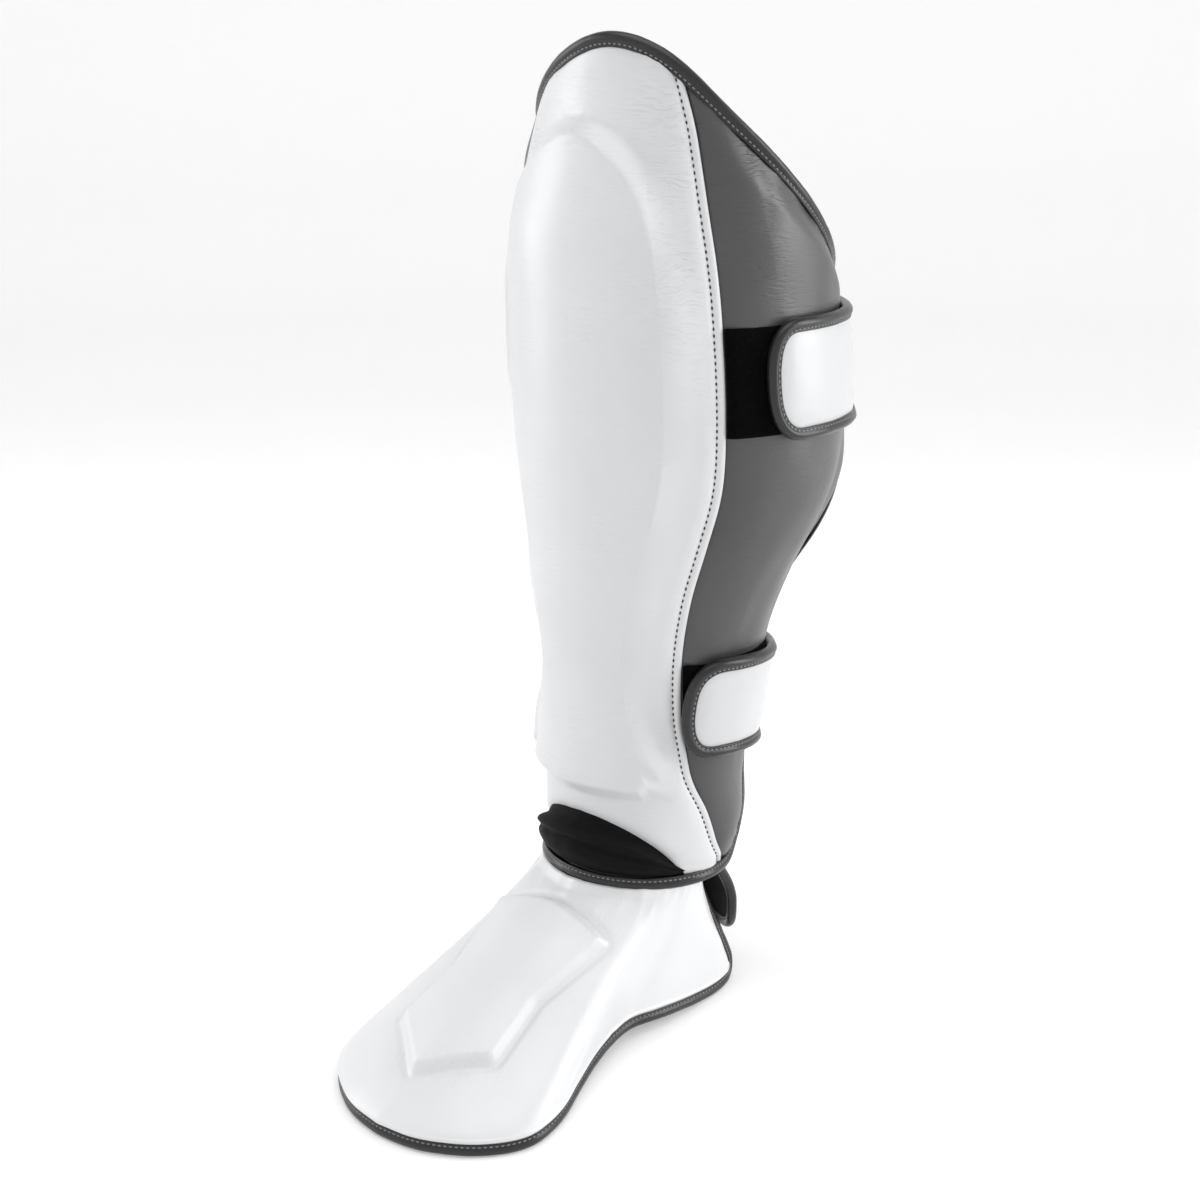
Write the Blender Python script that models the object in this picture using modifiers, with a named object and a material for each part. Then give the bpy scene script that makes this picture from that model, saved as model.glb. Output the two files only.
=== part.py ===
"""Shin and instep guard for the left leg, standing on the rim of its instep guard.

Toes point to -Y, +Z is up, x = 0 is the plane of symmetry, and the closing straps end on the +X side.
The leg part follows a near-circular leg form: a point on it is an angle from the front, a height and a
distance out from the form. Metres throughout.
"""

import math

import bmesh
import bpy
from mathutils import Vector

# Leg part
HEIGHT = 0.48
CALF_RADIUS = 0.0778
RING_HEIGHT = 0.0755
RING_RISE = 0.004
SHIN_WALL = 0.014
WING_WALL = 0.010
WING_FLARE = 0.006
FLARE_MIDDLE = 0.65
FLARE_REACH = 0.19
EDGE_WALL = 0.005
PAD_LIFT = 0.006
PAD_STEP = 0.009
DIP_SHARE = 0.85
PUFF = 0.0012
PUFF_REACH = 0.009
FLAT_EDGE = 0.003
UNDERCUT = 0.0035
GUSSET_HEIGHT = 0.0255
GUSSET_WALL = 0.0055
GUSSET_BULGE = 0.0105
GUSSET_DEGREES = 66.0
GUSSET_LEAN = 1.7
BINDING_RADIUS = 0.003
LEATHER_INSET = 0.0056
MITRE_LIMIT = 0.6

# Where the walls thin out: shares of a wing's width from its rear edge and of its height from its top
# and its bottom, then shares of the instep's run from its rim and its ankle and of its width
WING_TAPER = (0.3, 0.2, 0.1)
INSTEP_TAPER = (0.25, 0.2, 0.1)

# Instep part
FOOT_LENGTH = 0.2155
FOOT_HALF_WIDTH = 0.0584
ARCH_RISE = 0.006
TOE_OUT = 0.003
HEEL_Y = 0.041
INSTEP_RADIUS = 0.047
INSTEP_WALL = 0.010
SHIELD_LIFT = 0.0045
SHIELD_STEP = 0.005
RIM_SINK = 0.0003
RISER_LENGTH = 0.93

# Straps, loop patches and ankle tab
UPPER_STRAP_HEIGHT = 0.329
UPPER_STRAP_WIDTH = 0.056
UPPER_STRAP_END = 68.0
UPPER_STRAP_DROP = 0.002
LOWER_STRAP_HEIGHT = 0.170
LOWER_STRAP_WIDTH = 0.050
LOWER_STRAP_END = 54.5
LOWER_STRAP_DROP = 0.009
STRAP_ROOT = 238.0
STRAP_THICKNESS = 0.0035
STRAP_BINDING_RADIUS = 0.0024
STRAP_CORNER = 0.018
STRAP_SLACK = 0.006
SLACK_DEGREES = 32.0
STRAP_STEP_DEGREES = 12.0
STRAP_DROP_DEGREES = 110.0
STRAP_ROUNDING = 2.5
PATCH_WIDTH_MARGIN = 0.003
PATCH_THICKNESS = 0.0015
PATCH_END = 116.0
TAB_BOTTOM = 0.031
TAB_TOP = 0.095
TAB_HALF_WIDTH = 0.0185
TAB_THICKNESS = 0.0028
TAB_FLARE = 0.0062
TAB_DEGREES = 152.0
TAB_TOP_DEGREES = 137.5
TAB_BINDING_RADIUS = 0.0022
TAB_ROUND_SHARE = 0.5

# Where the tab swings forward and in to its seat: shares of RING_HEIGHT for the start and the reach
TAB_SWING = (0.72, 0.45)
TAB_LEAN = (0.62, 0.50)

# Spacing of a strap's cross-sections, closer at its free end: shares of a square and of a power curve,
# and that power
STRAP_SPREAD = (0.25, 0.75, 1.3)

# Clearance between pieces that touch
GAP = 0.0003
FORM_GAP = 0.0005
BINDING_GAP = 0.0012

# Colours: red, green, blue, roughness
WHITE = (0.80, 0.80, 0.81, 0.40)
GREY = (0.105, 0.105, 0.108, 0.45)
CHARCOAL = (0.065, 0.065, 0.070, 0.40)
BLACK = (0.008, 0.008, 0.008, 0.85)

# Leg form: share of HEIGHT, centre's y and radius as shares of CALF_RADIUS
LEG_FORM = (
    (0.154, 0.077, 0.617),
    (0.208, 0.174, 0.648),
    (0.260, 0.180, 0.643),
    (0.313, 0.229, 0.654),
    (0.365, 0.266, 0.679),
    (0.417, 0.297, 0.719),
    (0.469, 0.360, 0.799),
    (0.521, 0.460, 0.898),
    (0.573, 0.536, 0.977),
    (0.625, 0.537, 1.000),
    (0.729, 0.494, 0.981),
    (0.833, 0.447, 0.937),
    (0.938, 0.527, 0.869),
    (1.000, 0.553, 0.835),
)

# Seam between the white panel and a wing: share of HEIGHT, degrees from the front
SEAM = (
    (0.169, 106.0),
    (0.206, 86.0),
    (0.250, 75.3),
    (0.283, 65.4),
    (0.315, 59.5),
    (0.348, 55.0),
    (0.396, 52.3),
    (0.504, 50.9),
    (0.629, 53.2),
    (0.723, 53.6),
    (0.815, 52.2),
    (0.904, 44.8),
    (0.970, 35.5),
)

# Top edge of the binding: degrees from the front, share of HEIGHT
TOP_EDGE = (
    (-143.0, 0.730),
    (-132.0, 0.778),
    (-117.0, 0.806),
    (-86.0, 0.866),
    (-54.0, 0.926),
    (-34.6, 0.956),
    (-13.0, 0.985),
    (8.0, 0.998),
    (29.0, 0.983),
    (54.0, 0.933),
    (86.0, 0.869),
    (117.0, 0.806),
    (132.0, 0.778),
    (143.0, 0.730),
)

# Rear edge of a wing: share of the way up it, degrees from the front
REAR_EDGE = (
    (0.00, 117.0),
    (0.04, 122.0),
    (0.13, 127.0),
    (0.25, 137.0),
    (0.38, 141.0),
    (0.53, 134.0),
    (0.68, 132.5),
    (0.82, 138.0),
    (1.00, 143.0),
)

# Lower edge of the white panel: degrees from the front, share of GUSSET_HEIGHT above the ring
PANEL_LOWER_EDGE = (
    (0.0, 1.00),
    (15.0, 0.94),
    (30.0, 0.80),
    (45.0, 0.55),
    (59.0, 0.27),
    (74.0, 0.07),
    (106.0, 0.05),
)

# Outline of the raised shin pad: share of HEIGHT, half-width in degrees
PAD_OUTLINE = (
    (0.265, 40.0),
    (0.282, 48.0),
    (0.298, 49.0),
    (0.329, 41.4),
    (0.369, 33.5),
    (0.465, 35.5),
    (0.571, 36.6),
    (0.671, 42.2),
    (0.748, 43.2),
    (0.806, 38.7),
    (0.854, 32.9),
    (0.896, 19.4),
    (0.923, 2.0),
)

# Instep: column, degrees round the ankle, share of INSTEP_RADIUS, then the rim's x, y and height as
# shares of FOOT_HALF_WIDTH, of FOOT_LENGTH from the heel, and of ARCH_RISE
INSTEP_COLUMNS = (
    (0.00, 0.0, 1.00, 0.000, 1.000, 0.00),
    (0.09, 12.0, 1.00, 0.317, 0.987, 0.00),
    (0.17, 22.0, 1.00, 0.565, 0.957, 0.00),
    (0.24, 30.0, 1.00, 0.779, 0.916, 0.00),
    (0.30, 37.0, 1.00, 0.942, 0.862, 0.00),
    (0.35, 42.0, 1.00, 1.000, 0.812, 0.00),
    (0.43, 50.0, 1.00, 0.950, 0.722, 0.00),
    (0.51, 57.0, 1.00, 0.805, 0.624, 0.17),
    (0.59, 64.0, 1.00, 0.682, 0.531, 0.50),
    (0.66, 70.0, 1.00, 0.611, 0.448, 0.83),
    (0.73, 75.0, 1.00, 0.586, 0.371, 1.00),
    (0.79, 80.0, 0.99, 0.637, 0.295, 0.83),
    (0.86, 86.0, 0.96, 0.659, 0.200, 0.40),
    (0.92, 92.0, 0.91, 0.652, 0.093, 0.00),
    (0.97, 98.0, 0.83, 0.620, 0.028, 0.00),
    (1.00, 105.0, 0.74, 0.548, -0.010, 0.00),
)

# Profile from the ankle down to the rim: a Bezier's inner control points, share of the way out and
# share of the height
INSTEP_SHOULDER = (0.34, 0.59)
INSTEP_DOME = (1.00, 0.07)
INSTEP_ROWS = 16
COLUMN_STEP = 0.01

# Raised shield on the instep: x and y as shares of FOOT_HALF_WIDTH and of FOOT_LENGTH
SHIELD = (
    (0.000, 0.437),
    (0.569, 0.451),
    (0.440, 0.640),
    (0.500, 0.793),
    (0.000, 0.897),
)


def along(table, at):
    """The table's columns at a value of its first column, on a smooth curve through its rows."""
    at = min(max(at, table[0][0]), table[-1][0])
    index = 0
    while index < len(table) - 2 and at > table[index + 1][0]:
        index += 1
    low, high = table[index], table[index + 1]
    before = table[max(index - 1, 0)]
    after = table[min(index + 2, len(table) - 1)]
    span = high[0] - low[0]
    t = (at - low[0]) / span
    values = []
    for column in range(1, len(low)):
        start = (high[column] - before[column]) / (high[0] - before[0]) * span
        end = (after[column] - low[column]) / (after[0] - low[0]) * span
        rise = high[column] - low[column]
        values.append(
            low[column]
            + start * t
            + (3 * rise - 2 * start - end) * t * t
            + (start + end - 2 * rise) * t**3
        )
    return values


def fade(distance, reach):
    """1 at distance 0, falling smoothly to 0 at reach."""
    share = min(max(distance / reach, 0.0), 1.0)
    return 1.0 - share * share * (3.0 - 2.0 * share)


def form(z):
    """Centre's y and radius of the leg form at a height."""
    centre, radius = along(LEG_FORM, z / HEIGHT)
    return centre * CALF_RADIUS, radius * CALF_RADIUS


def on_leg(degrees, z, out=0.0):
    """The point at an angle from the front and a height, a distance out from the leg form."""
    centre, radius = form(z)
    angle = math.radians(degrees)
    return Vector(((radius + out) * math.sin(angle), centre - (radius + out) * math.cos(angle), z))


def degrees_for(length, z):
    """The angle that a length takes up round the form at a height."""
    return math.degrees(length / form(z)[1])


def seam_degrees(z):
    return along(SEAM, z / HEIGHT)[0]


def leather_top(degrees):
    """Height of the leather's top edge, inside the binding."""
    return along(TOP_EDGE, degrees)[0] * HEIGHT - LEATHER_INSET


def ring_height(degrees):
    """Height of the ankle ring's centre line, a little higher at the front."""
    return RING_HEIGHT + RING_RISE * (1.0 + math.cos(math.radians(degrees))) / 2


def ring_top(degrees):
    return ring_height(degrees) + BINDING_RADIUS + BINDING_GAP


REAR_BOTTOM = ring_top(REAR_EDGE[0][1])
REAR_TOP = leather_top(TOP_EDGE[-1][0])


def rear_degrees(share):
    return along(REAR_EDGE, share)[0]


def rear_height(share):
    return REAR_BOTTOM + (REAR_TOP - REAR_BOTTOM) * share


def rear_flare(share):
    """How far the wings' rear edges stand out, between the two straps."""
    return WING_FLARE * fade(abs(share - FLARE_MIDDLE), FLARE_REACH)


def panel_bottom(degrees):
    """Height of the white panel's lower edge."""
    return ring_top(degrees) + along(PANEL_LOWER_EDGE, abs(degrees))[0] * GUSSET_HEIGHT


def seam_height(share):
    """Height of the seam, share of the way up from its lower end to the top edge."""
    low = panel_bottom(SEAM[0][1])
    return low + (leather_top(SEAM[-1][1]) - low) * share


def seam_place(share, side):
    """Angle and height of a side's seam, share of the way up it."""
    height = seam_height(share)
    top_end = SEAM[-1][1]
    return seam_degrees(height), height + (leather_top(side * top_end) - leather_top(top_end)) * share


def add_object(name, data, colour, parent):
    """A new object in the model's collection, with a material of its own."""
    obj = bpy.data.objects.new(name, data)
    model.objects.link(obj)
    obj.parent = parent
    material = bpy.data.materials.new(name)
    material.use_nodes = True
    shader = material.node_tree.nodes["Principled BSDF"]
    shader.inputs["Base Color"].default_value = (*colour[:3], 1.0)
    shader.inputs["Roughness"].default_value = colour[3]
    shader.inputs["Metallic"].default_value = 0.0
    data.materials.append(material)
    return obj


def spaced(count, margin):
    """Shares from 0 to 1 in even steps, but for a first and a last step of their own width."""
    if margin == 0.0:
        return [step / count for step in range(count + 1)]
    inner = [margin + (1.0 - 2 * margin) * step / (count - 2) for step in range(count - 1)]
    return [0.0, *inner, 1.0]


def padded_sheet(name, point, columns, rows, wall, thickest, colour, margin=0.0):
    """A padded wall: an open grid on its outer face, made solid inwards by its own thickness."""
    vertices = []
    weights = []
    for v in spaced(rows, 0.0):
        for u in spaced(columns, margin):
            vertices.append(point(u, v))
            weights.append(wall(u, v) / thickest)
    faces = []
    for row in range(rows):
        for column in range(columns):
            corner = row * (columns + 1) + column
            faces.append((corner, corner + 1, corner + columns + 2, corner + columns + 1))
    mesh = bpy.data.meshes.new(name)
    mesh.from_pydata(vertices, [], faces)
    mesh.shade_smooth()
    obj = add_object(name, mesh, colour, root)
    group = obj.vertex_groups.new(name="wall")
    for index, weight in enumerate(weights):
        group.add([index], weight, "REPLACE")
    solid = obj.modifiers.new("Wall", "SOLIDIFY")
    solid.thickness = thickest
    solid.offset = -1.0
    solid.vertex_group = group.name
    solid.use_quality_normals = True
    return obj


def tube(name, points, radius, colour, closed=False):
    """A round binding along a path of points."""
    data = bpy.data.curves.new(name, "CURVE")
    data.dimensions = "3D"
    spline = data.splines.new("POLY")
    spline.points.add(len(points) - 1)
    for place, point in zip(spline.points, points):
        place.co = (*point, 1.0)
    spline.use_cyclic_u = closed
    data.bevel_depth = radius
    data.bevel_resolution = 1
    data.use_fill_caps = not closed
    return add_object(name, data, colour, root)


def panel_place(u, v):
    """Angle and height on the white panel: u from its -X seam to its +X seam, v from bottom to top."""
    side = 2.0 * u - 1.0
    edge, z = seam_place(v, side)
    low_end = SEAM[0][1]
    z += (panel_bottom(side * low_end) - panel_bottom(low_end)) * (1.0 - v)
    return side * (edge - degrees_for(FORM_GAP, z)), z


def pad_depth(degrees, z):
    """Distance inside the raised pad's outline, negative outside it."""
    share = z / HEIGHT
    low, high = PAD_OUTLINE[0][0], PAD_OUTLINE[-1][0]
    half = along(PAD_OUTLINE, share)[0]
    across = (half - abs(degrees)) * math.radians(1.0) * form(z)[1]
    return min(across, (share - low) * HEIGHT, (high - share) * HEIGHT)


def pad_rise(degrees, z):
    return PAD_LIFT * (1.0 - fade(pad_depth(degrees, z) + PAD_STEP / 2, PAD_STEP))


def panel_out(degrees, z):
    """How far the white panel's face stands out from the form."""
    to_seam = (seam_degrees(z) - abs(degrees)) * math.radians(1.0) * form(z)[1]
    seam = max(to_seam - FLAT_EDGE, 0.0)
    under = z - panel_bottom(degrees)
    low, high = PAD_OUTLINE[0][0] * HEIGHT, PAD_OUTLINE[-1][0] * HEIGHT
    beside_pad = fade(max(low - z, z - high, 0.0), 1.5 * PAD_STEP) * (1.0 - fade(seam, 2 * PAD_STEP))
    dip = DIP_SHARE * PAD_LIFT * beside_pad
    puff = PUFF * (1.0 - fade(seam, PUFF_REACH)) * (1.0 - beside_pad)
    return pad_rise(degrees, z) - dip + puff - UNDERCUT * fade(under, PUFF_REACH) ** 2


def shin_pad():
    """White front panel, thicker where its central pad is raised."""

    def point(u, v):
        degrees, z = panel_place(u, v)
        return on_leg(degrees, z, panel_out(degrees, z))

    def wall(u, v):
        degrees, z = panel_place(u, v)
        thin = max(fade(leather_top(degrees) - z, 3 * PUFF_REACH), fade(z - panel_bottom(degrees), PUFF_REACH))
        return SHIN_WALL - (SHIN_WALL - EDGE_WALL) * thin + pad_rise(degrees, z)

    padded_sheet("shin_pad", point, 20, 26, wall, SHIN_WALL + PAD_LIFT, WHITE, margin=0.02)


def wing_place(u, v, side):
    """Angle and height on a wing: u from its seam to its rear edge, v from bottom to top."""
    seam_angle, seam_z = seam_place(v, side)
    seam = (seam_angle + degrees_for(FORM_GAP, seam_z), seam_z)
    rear = (rear_degrees(v), rear_height(v))
    low_start, low_end = SEAM[0][1], rear_degrees(0.0)
    top_start, top_end = SEAM[-1][1], TOP_EDGE[-1][0]
    low = (low_start + (low_end - low_start) * u, seam_height(0.0) * (1.0 - u) + REAR_BOTTOM * u)
    top_degrees = top_start + (top_end - top_start) * u
    top = (top_degrees, leather_top(side * top_degrees))
    corners = (
        (low_start, seam_height(0.0)),
        (low_end, REAR_BOTTOM),
        (top_start, leather_top(side * top_start)),
        (top_end, leather_top(side * top_end)),
    )
    place = []
    for axis in range(2):
        sides = seam[axis] * (1 - u) + rear[axis] * u + low[axis] * (1 - v) + top[axis] * v
        bilinear = (
            corners[0][axis] * (1 - u) * (1 - v)
            + corners[1][axis] * u * (1 - v)
            + corners[2][axis] * (1 - u) * v
            + corners[3][axis] * u * v
        )
        place.append(sides - bilinear)
    return place


def wing(name, side):
    """Grey calf wing, thin at its bound edges and full in the middle."""

    def point(u, v):
        across = u if side > 0 else 1.0 - u
        degrees, z = wing_place(across, v, side)
        width = (rear_degrees(v) - seam_degrees(z)) * math.radians(1.0) * form(z)[1]
        flare = rear_flare(v) * fade((1.0 - across) * width, 2 * PUFF_REACH)
        return on_leg(side * degrees, z, flare - PUFF * fade(across * width - FLAT_EDGE, PUFF_REACH))

    def wall(u, v):
        across = u if side > 0 else 1.0 - u
        rear, top, bottom = WING_TAPER
        full = 1.0 - max(fade(1.0 - across, rear), fade(1.0 - v, top), fade(v, bottom))
        return EDGE_WALL + (WING_WALL - EDGE_WALL) * full

    padded_sheet(name, point, 10, 26, wall, WING_WALL, GREY, margin=0.025)


def outset(points, distance, inward):
    """The points of a closed loop moved out along the form from the leather edge that they follow."""
    moved = []
    count = len(points)
    for index, point in enumerate(points):
        before = (point - points[index - 1]).normalized()
        after = (points[(index + 1) % count] - point).normalized()
        tangent = (before + after).normalized()
        radial = Vector((point.x, point.y - form(point.z)[0], 0.0)).normalized()
        outward = tangent.cross(radial).normalized()
        mitre = max(tangent.dot(after), MITRE_LIMIT)
        moved.append(point + outward * distance / mitre - radial * inward)
    return moved


def shin_binding():
    """Binding round the whole leg part: over the top, down the rear edges and round the ankle."""
    corner = TOP_EDGE[-1][0]
    top_steps, rear_steps, ring_steps = 42, 18, 28
    loop = []
    for step in range(top_steps):
        degrees = corner - 2 * corner * step / top_steps
        loop.append(on_leg(degrees, leather_top(degrees)))
    for step in range(rear_steps):
        share = 1.0 - step / rear_steps
        loop.append(on_leg(-rear_degrees(share), rear_height(share), rear_flare(share)))
    low_corner = rear_degrees(0.0)
    for step in range(ring_steps):
        degrees = -low_corner + 2 * low_corner * step / ring_steps
        loop.append(on_leg(degrees, ring_top(degrees)))
    for step in range(rear_steps):
        share = step / rear_steps
        loop.append(on_leg(rear_degrees(share), rear_height(share), rear_flare(share)))
    path = outset(loop, BINDING_RADIUS + BINDING_GAP, EDGE_WALL / 2)
    tube("shin_binding", path, BINDING_RADIUS, CHARCOAL, closed=True)


def ankle_gusset():
    """Black neoprene that bulges out between the white panel's lower edge and the ankle ring."""

    def point(u, v):
        degrees = GUSSET_DEGREES * (2.0 * u - 1.0)
        low, high = ring_top(degrees) + GAP, panel_bottom(degrees) - BINDING_GAP
        z = low + (high - low) * v
        bulge = GUSSET_BULGE * math.sin(math.pi * v**GUSSET_LEAN) * (high - low) / GUSSET_HEIGHT
        return on_leg(degrees, z, bulge - UNDERCUT)

    padded_sheet("ankle_gusset", point, 20, 5, lambda u, v: GUSSET_WALL, GUSSET_WALL, BLACK)


def instep_ends(column):
    """Top point under the ankle ring and centre of the rim's binding, for a column from -1 to 1."""
    side = -1.0 if column < 0 else 1.0
    degrees, radius, rim_x, rim_y, rim_z = along(INSTEP_COLUMNS, abs(column))
    centre = form(RING_HEIGHT)[0]
    angle = math.radians(degrees)
    top = Vector((
        side * radius * INSTEP_RADIUS * math.sin(angle),
        centre - radius * INSTEP_RADIUS * math.cos(angle),
        ring_height(degrees) - BINDING_RADIUS - GAP,
    ))
    rim = Vector((
        side * rim_x * FOOT_HALF_WIDTH + TOE_OUT * rim_y**2,
        HEEL_Y - rim_y * FOOT_LENGTH,
        BINDING_RADIUS - RIM_SINK + rim_z * ARCH_RISE,
    ))
    return top, rim


def instep_base(column, v):
    """The instep's face before its shield is raised: v from the ankle to the rim."""
    top, rim = instep_ends(column)
    rim_next = instep_ends(min(column + COLUMN_STEP, 1.0))[1]
    rim_before = instep_ends(max(column - COLUMN_STEP, -1.0))[1]
    tangent = rim_next - rim_before
    outward = Vector((tangent.y, -tangent.x, 0.0)).normalized()
    rim = rim + outward * EDGE_WALL / 2
    rim.z += BINDING_RADIUS + GAP
    rows_above = 1.0 - 1.0 / INSTEP_ROWS
    upright = Vector((0.0, 0.0, EDGE_WALL / 2))
    if v > rows_above:
        return rim + upright * (1.0 - v) * INSTEP_ROWS
    rim += upright
    v /= rows_above
    height = top.z - rim.z
    shoulder = top.lerp(rim, INSTEP_SHOULDER[0])
    dome = top.lerp(rim, INSTEP_DOME[0])
    shoulder.z = rim.z + height * INSTEP_SHOULDER[1]
    dome.z = rim.z + height * INSTEP_DOME[1]
    s = 1.0 - v
    return top * s**3 + shoulder * 3 * s * s * v + dome * 3 * s * v * v + rim * v**3


def shield_depth(point):
    """Distance inside the shield's outline in plan, negative outside it."""
    share = (HEEL_Y - point.y) / FOOT_LENGTH
    place = Vector((abs(point.x - TOE_OUT * share**2), share * FOOT_LENGTH))
    corners = [Vector((x * FOOT_HALF_WIDTH, y * FOOT_LENGTH)) for x, y in SHIELD]
    nearest = FOOT_LENGTH
    inside = False
    for start, end in zip(corners, corners[1:]):
        run = end - start
        share = min(max((place - start).dot(run) / run.length_squared, 0.0), 1.0)
        nearest = min(nearest, (start + run * share - place).length)
        if (start.y > place.y) != (end.y > place.y):
            crossing = start.x + run.x * (place.y - start.y) / run.y
            inside = inside != (place.x < crossing)
    return nearest if inside else -nearest


def instep_pad():
    """White padded instep guard with its raised shield."""

    def column_of(u):
        return 2.0 * u - 1.0

    def lift(place):
        return SHIELD_LIFT * (1.0 - fade(shield_depth(place) + SHIELD_STEP / 2, SHIELD_STEP))

    def point(u, v):
        column = column_of(u)
        place = instep_base(column, v)
        right, left = min(column + COLUMN_STEP, 1.0), max(column - COLUMN_STEP, -1.0)
        across = instep_base(right, v) - instep_base(left, v)
        lower, upper = min(v + COLUMN_STEP, 1.0), max(v - COLUMN_STEP, 0.0)
        down = instep_base(column, lower) - instep_base(column, upper)
        normal = down.cross(across).normalized()
        return place + normal * lift(place)

    def wall(u, v):
        place = instep_base(column_of(u), v)
        rim, ankle, side = INSTEP_TAPER
        full = 1.0 - max(fade(1.0 - v, rim), fade(v, ankle), fade(1.0 - abs(column_of(u)), side))
        return EDGE_WALL + (INSTEP_WALL - EDGE_WALL) * full + lift(place)

    def flipped(u, v):
        return point(u, 1.0 - v)

    padded_sheet(
        "instep_pad", flipped, 36, INSTEP_ROWS, lambda u, v: wall(u, 1.0 - v), INSTEP_WALL + SHIELD_LIFT, WHITE
    )


def instep_binding():
    """Binding along the instep's rim and up its two rear edges, flat where the guard stands on it."""
    rise_steps, rim_steps = 7, 48
    risers = []
    for side in (1.0, -1.0):
        riser = []
        for step in range(rise_steps + 1):
            share = 1.0 - RISER_LENGTH * step / rise_steps
            edge = instep_base(side, share)
            ahead = edge - instep_base(side * (1.0 - COLUMN_STEP), share)
            away = Vector((ahead.x, ahead.y, 0.0)).normalized()
            inside = Vector((-away.y, away.x, 0.0)) * side
            riser.append(edge + away * (BINDING_RADIUS + 2 * GAP) + inside * EDGE_WALL / 2)
        riser[0].z = BINDING_RADIUS - RIM_SINK
        risers.append(riser)
    rim = [instep_ends(1.0 - 2.0 * step / rim_steps)[1] for step in range(rim_steps + 1)]
    path = risers[0][::-1] + rim + risers[1]
    curve = tube("instep_binding", path, BINDING_RADIUS, CHARCOAL)
    bpy.context.view_layer.update()
    mesh = bpy.data.meshes.new_from_object(curve.evaluated_get(bpy.context.evaluated_depsgraph_get()))
    welded = bmesh.new()
    welded.from_mesh(mesh)
    bmesh.ops.remove_doubles(welded, verts=welded.verts, dist=0.00001)
    welded.to_mesh(mesh)
    welded.free()
    place = curve.matrix_world.copy()
    bpy.data.objects.remove(curve)
    binding = add_object("instep_binding", mesh, CHARCOAL, root)
    binding.matrix_world = place

    depth = 4 * BINDING_RADIUS
    middle = HEEL_Y - FOOT_LENGTH / 2
    bpy.ops.mesh.primitive_cube_add(size=1.0, location=(0.0, middle, -depth / 2))
    cutter = bpy.context.active_object
    cutter.name = "floor_cut"
    cutter.scale = (4 * FOOT_HALF_WIDTH, 2 * FOOT_LENGTH, depth)
    cutter.hide_render = True
    cutter.display_type = "WIRE"
    for collection in cutter.users_collection:
        collection.objects.unlink(cutter)
    cutters.objects.link(cutter)
    cutter.parent = root
    cut = binding.modifiers.new("Flat underside", "BOOLEAN")
    cut.operation = "DIFFERENCE"
    cut.solver = "EXACT"
    cut.object = cutter


def loop_patch(name, height, width):
    """Black loop tape on the outer wing, under a strap's end."""
    low = height - width / 2 + PATCH_WIDTH_MARGIN
    high = height + width / 2 - PATCH_WIDTH_MARGIN

    def point(u, v):
        z = low + (high - low) * v
        start = seam_degrees(z) + degrees_for(3 * GAP, z)
        return on_leg(start + (PATCH_END - start) * u, z, FORM_GAP + PATCH_THICKNESS)

    padded_sheet(name, point, 9, 3, lambda u, v: PATCH_THICKNESS, PATCH_THICKNESS, BLACK)


def strap_level(degrees):
    """How far out a strap's inner face lies: on the loop patch, on the rear bindings, flatter between."""
    on_patch = 2 * FORM_GAP + PATCH_THICKNESS
    on_binding = BINDING_RADIUS - EDGE_WALL / 2 + 2 * FORM_GAP
    level = on_binding + (on_patch - on_binding) * fade(degrees - PATCH_END, STRAP_STEP_DEGREES)
    return level - STRAP_SLACK * fade(abs(degrees - 180.0), SLACK_DEGREES)


def strap_half(along_strap, width, inset):
    """Half-width of a strap's outline, rounded at its free end, taken in from its edge by inset."""
    half = width / 2 - inset
    corner = STRAP_CORNER - inset
    share = min(max((along_strap - inset) / corner, 0.04), 1.0)
    return half * (1.0 - (1.0 - share) ** STRAP_ROUNDING) ** (1.0 / STRAP_ROUNDING)


def strap_centre(degrees, height, end, drop):
    """Height of a strap's middle line, falling from its free end towards the back."""
    return height - drop * (1.0 - fade(degrees - end, STRAP_DROP_DEGREES))


def strap(name, height, width, end, drop):
    """White closing strap with its binding: free end on the outer wing, root on the inner wing."""
    turn = degrees_for(1.0, height)
    body_inset = 2 * STRAP_BINDING_RADIUS + GAP
    total = (STRAP_ROOT - end) / turn
    steps = 22

    def along_at(share, inset):
        square, rest, power = STRAP_SPREAD
        return inset + (total - inset) * (square * share * share + rest * share**power)

    def point(u, v):
        run = along_at(u, body_inset)
        degrees = end + run * turn
        half = strap_half(run, width, body_inset)
        z = strap_centre(degrees, height, end, drop) + (2.0 * v - 1.0) * half
        return on_leg(degrees, z, strap_level(degrees) + STRAP_THICKNESS)

    padded_sheet(name, point, steps, 4, lambda u, v: STRAP_THICKNESS, STRAP_THICKNESS, WHITE)

    edge = []
    for step in range(steps + 1):
        run = along_at(1.0 - step / steps, STRAP_BINDING_RADIUS)
        degrees = end + run * turn
        edge.append((degrees, strap_half(run, width, STRAP_BINDING_RADIUS)))
    path = []
    for side, places in ((-1.0, edge), (1.0, edge[::-1])):
        for degrees, half in places:
            z = strap_centre(degrees, height, end, drop) + side * half
            path.append(on_leg(degrees, z, strap_level(degrees) + STRAP_BINDING_RADIUS))
    tube(name + "_binding", path, STRAP_BINDING_RADIUS, CHARCOAL)


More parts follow.
